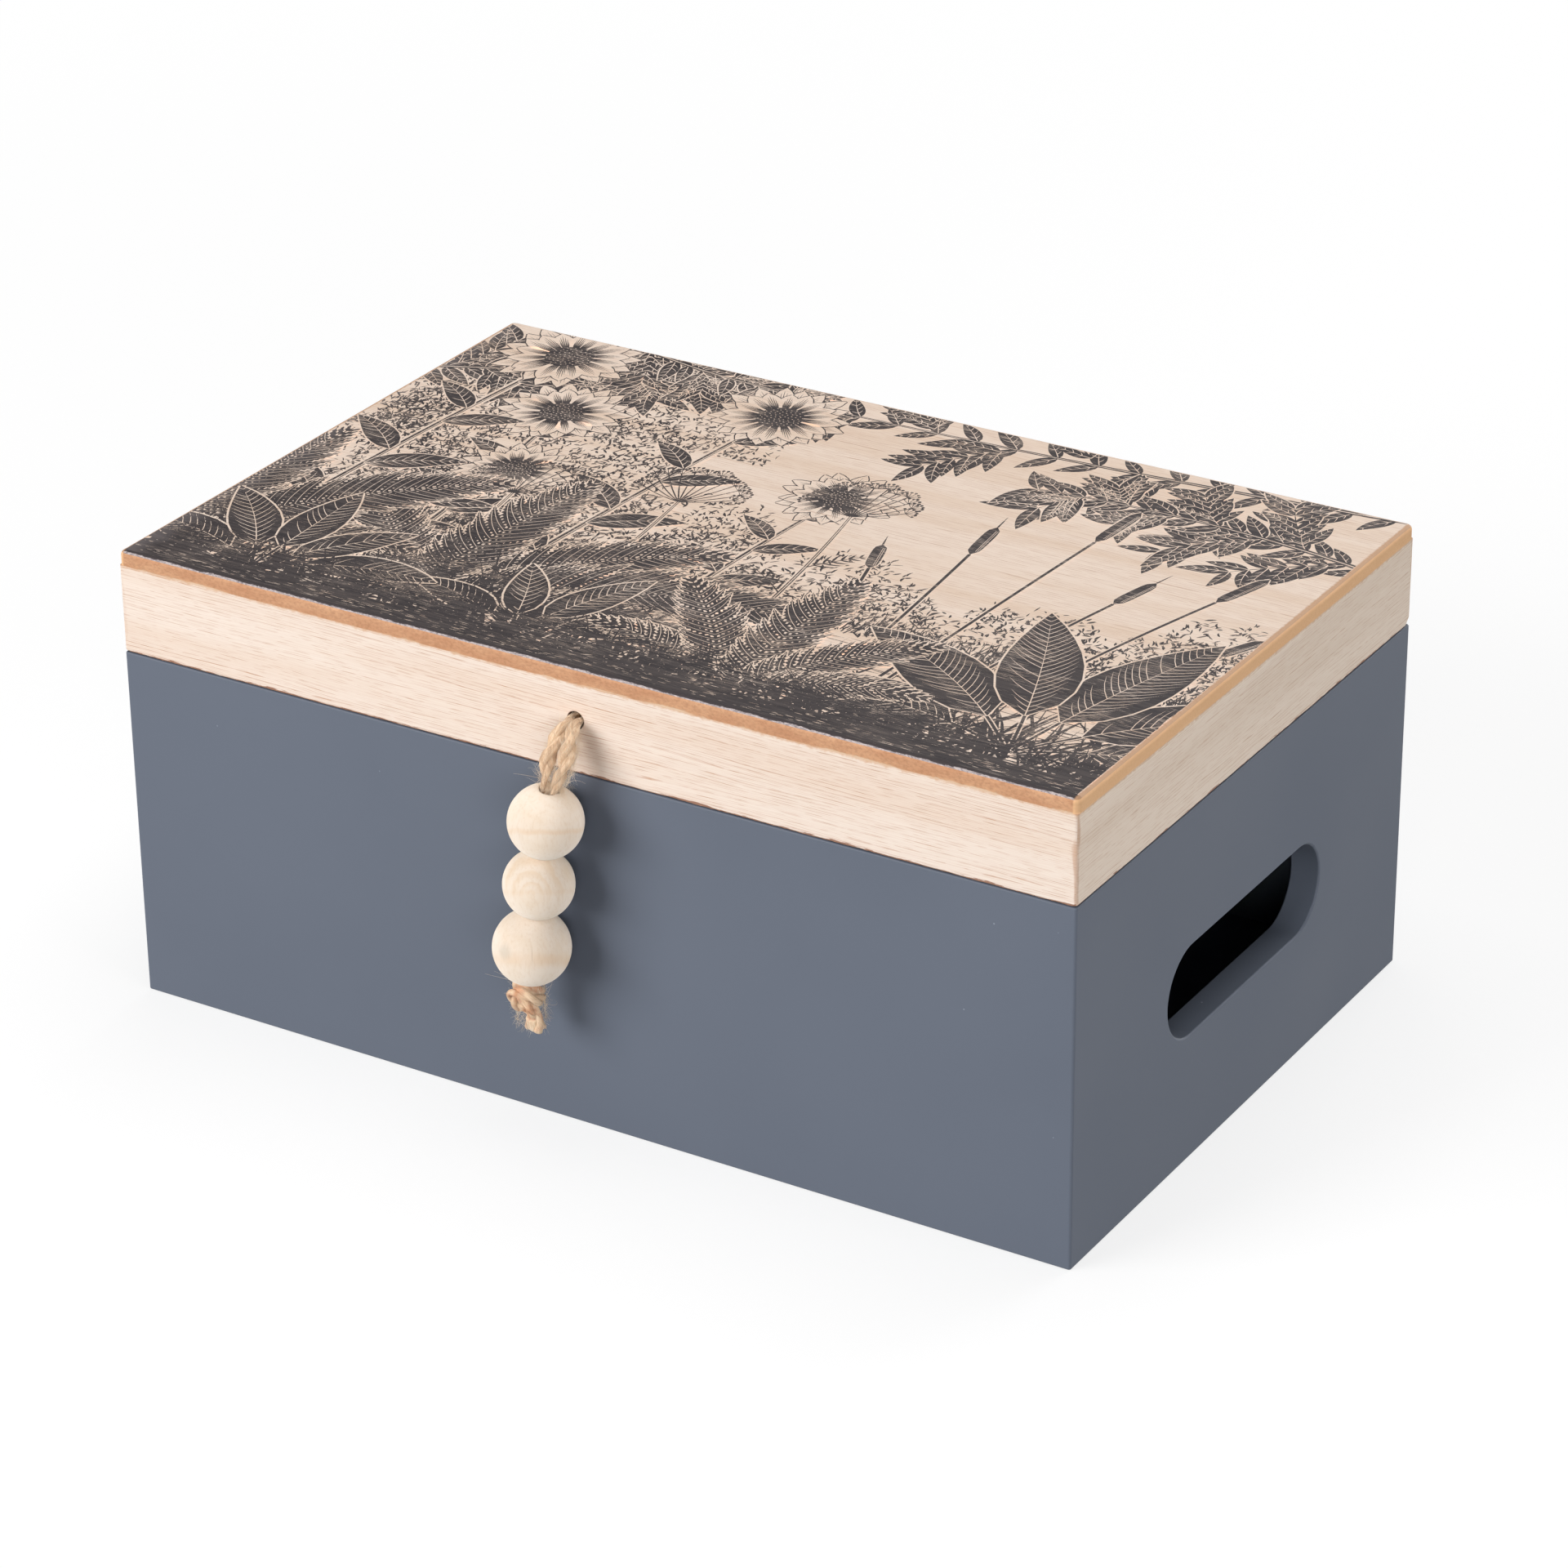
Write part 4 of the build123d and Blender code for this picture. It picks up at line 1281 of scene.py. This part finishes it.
def add_floor():
    """A plain white floor that keeps the box's soft shadow."""
    finish = Finish("floor")
    seen = finish.add("ShaderNodeLightPath").outputs
    direct = finish.math("MAXIMUM", seen["Is Camera Ray"], seen["Is Glossy Ray"])
    direct = finish.math("MAXIMUM", direct, seen["Is Transmission Ray"])
    plain = finish.add("ShaderNodeBsdfDiffuse", {"Color": (0.12, 0.12, 0.12, 1)})
    shadowed = finish.add("ShaderNodeBsdfDiffuse", {"Color": (0.3, 0.3, 0.3, 1)})
    glow = finish.add("ShaderNodeEmission", {"Color": white, "Strength": 0.72})
    near = finish.add("ShaderNodeAddShader", {0: shadowed.outputs[0], 1: glow.outputs[0]})
    far = finish.add("ShaderNodeEmission", {"Color": white, "Strength": 1.0})
    away = finish.vector("LENGTH", finish.place).ramp(0.3, 1.0)
    bright = finish.add("ShaderNodeMixShader", {0: away, 1: near.outputs[0], 2: far.outputs[0]})
    both = finish.add("ShaderNodeMixShader", {0: direct, 1: plain.outputs[0], 2: bright.outputs[0]})
    finish.add("ShaderNodeOutputMaterial", {"Surface": both.outputs[0]})
    reach = 6.0
    below = -0.1 * mm
    corners = [(x * reach, y * reach, below) for x, y in ((-1, -1), (1, -1), (1, 1), (-1, 1))]
    floor = new_piece("floor", corners, [(0, 1, 2, 3)], [finish.owner], smooth=False)


def add_world(light_strength):
    """White surroundings for the camera, and a soft even light for the object."""
    world = bpy.data.worlds.new("surroundings")
    sky = Nodes(world)
    seen = sky.add("ShaderNodeLightPath").outputs
    direct = sky.math("MAXIMUM", seen["Is Camera Ray"], seen["Is Transmission Ray"])
    light = sky.add("ShaderNodeBackground", {"Color": white, "Strength": light_strength})
    plain = sky.add("ShaderNodeBackground", {"Color": white, "Strength": 1.0})
    both = sky.add("ShaderNodeMixShader", {0: direct, 1: light.outputs[0], 2: plain.outputs[0]})
    sky.add("ShaderNodeOutputWorld", {"Surface": both.outputs[0]})
    bpy.context.scene.world = world


def add_softbox(name, direction, distance, width, height, power):
    """A soft area lamp that far from the box's middle, in the direction given."""
    target = Vector((0, 0, 70 * mm))
    lamp = bpy.data.lights.new(name, "AREA")
    lamp.shape = "RECTANGLE"
    lamp.size = width
    lamp.size_y = height
    lamp.energy = power
    holder = bpy.data.objects.new(name, lamp)
    holder.location = target + Vector(direction).normalized() * distance
    holder.rotation_euler = (target - holder.location).to_track_quat("-Z", "Y").to_euler()
    bpy.context.scene.collection.objects.link(holder)


def add_camera():
    """A long lens from the front right, at the photograph's own view."""
    azimuth = radians(31.5162)
    elevation = radians(26.8491)
    roll = radians(-0.5807)
    back = Vector((sin(azimuth) * cos(elevation), -cos(azimuth) * cos(elevation), sin(elevation)))
    level = Vector((cos(azimuth), sin(azimuth), 0))
    above = back.cross(level)
    side = level * cos(roll) + above * sin(roll)
    up = above * cos(roll) - level * sin(roll)
    camera = bpy.data.objects.new("camera", bpy.data.cameras.new("camera"))
    camera.data.lens = 122.453
    camera.data.sensor_width = 36.0
    stand = Matrix.Translation((0.70529, -1.14310, 0.74121))
    camera.matrix_world = stand @ Matrix((side, up, back)).transposed().to_4x4()
    bpy.context.scene.collection.objects.link(camera)
    bpy.context.scene.camera = camera


add_floor()
add_world(0.01)
for facts in (
    ("key", (-0.70, -1.0, 0.40), 2.4, 1.75, 1.3, 60.0),
    ("front_fill", (0.60, -0.80, 0.20), 2.6, 1.6, 0.8, 22.0),
    ("side_fill", (1.0, -0.20, 0.30), 1.8, 1.2, 1.2, 11.0),
    ("top_fill", (0.0, 0.15, 1.0), 1.8, 1.4, 1.4, 17.0),
    ("back_fill", (0.15, 1.0, 0.20), 2.4, 1.8, 0.9, 34.0),
):
    add_softbox(*facts)
add_camera()
bpy.context.scene.view_settings.view_transform = "Standard"
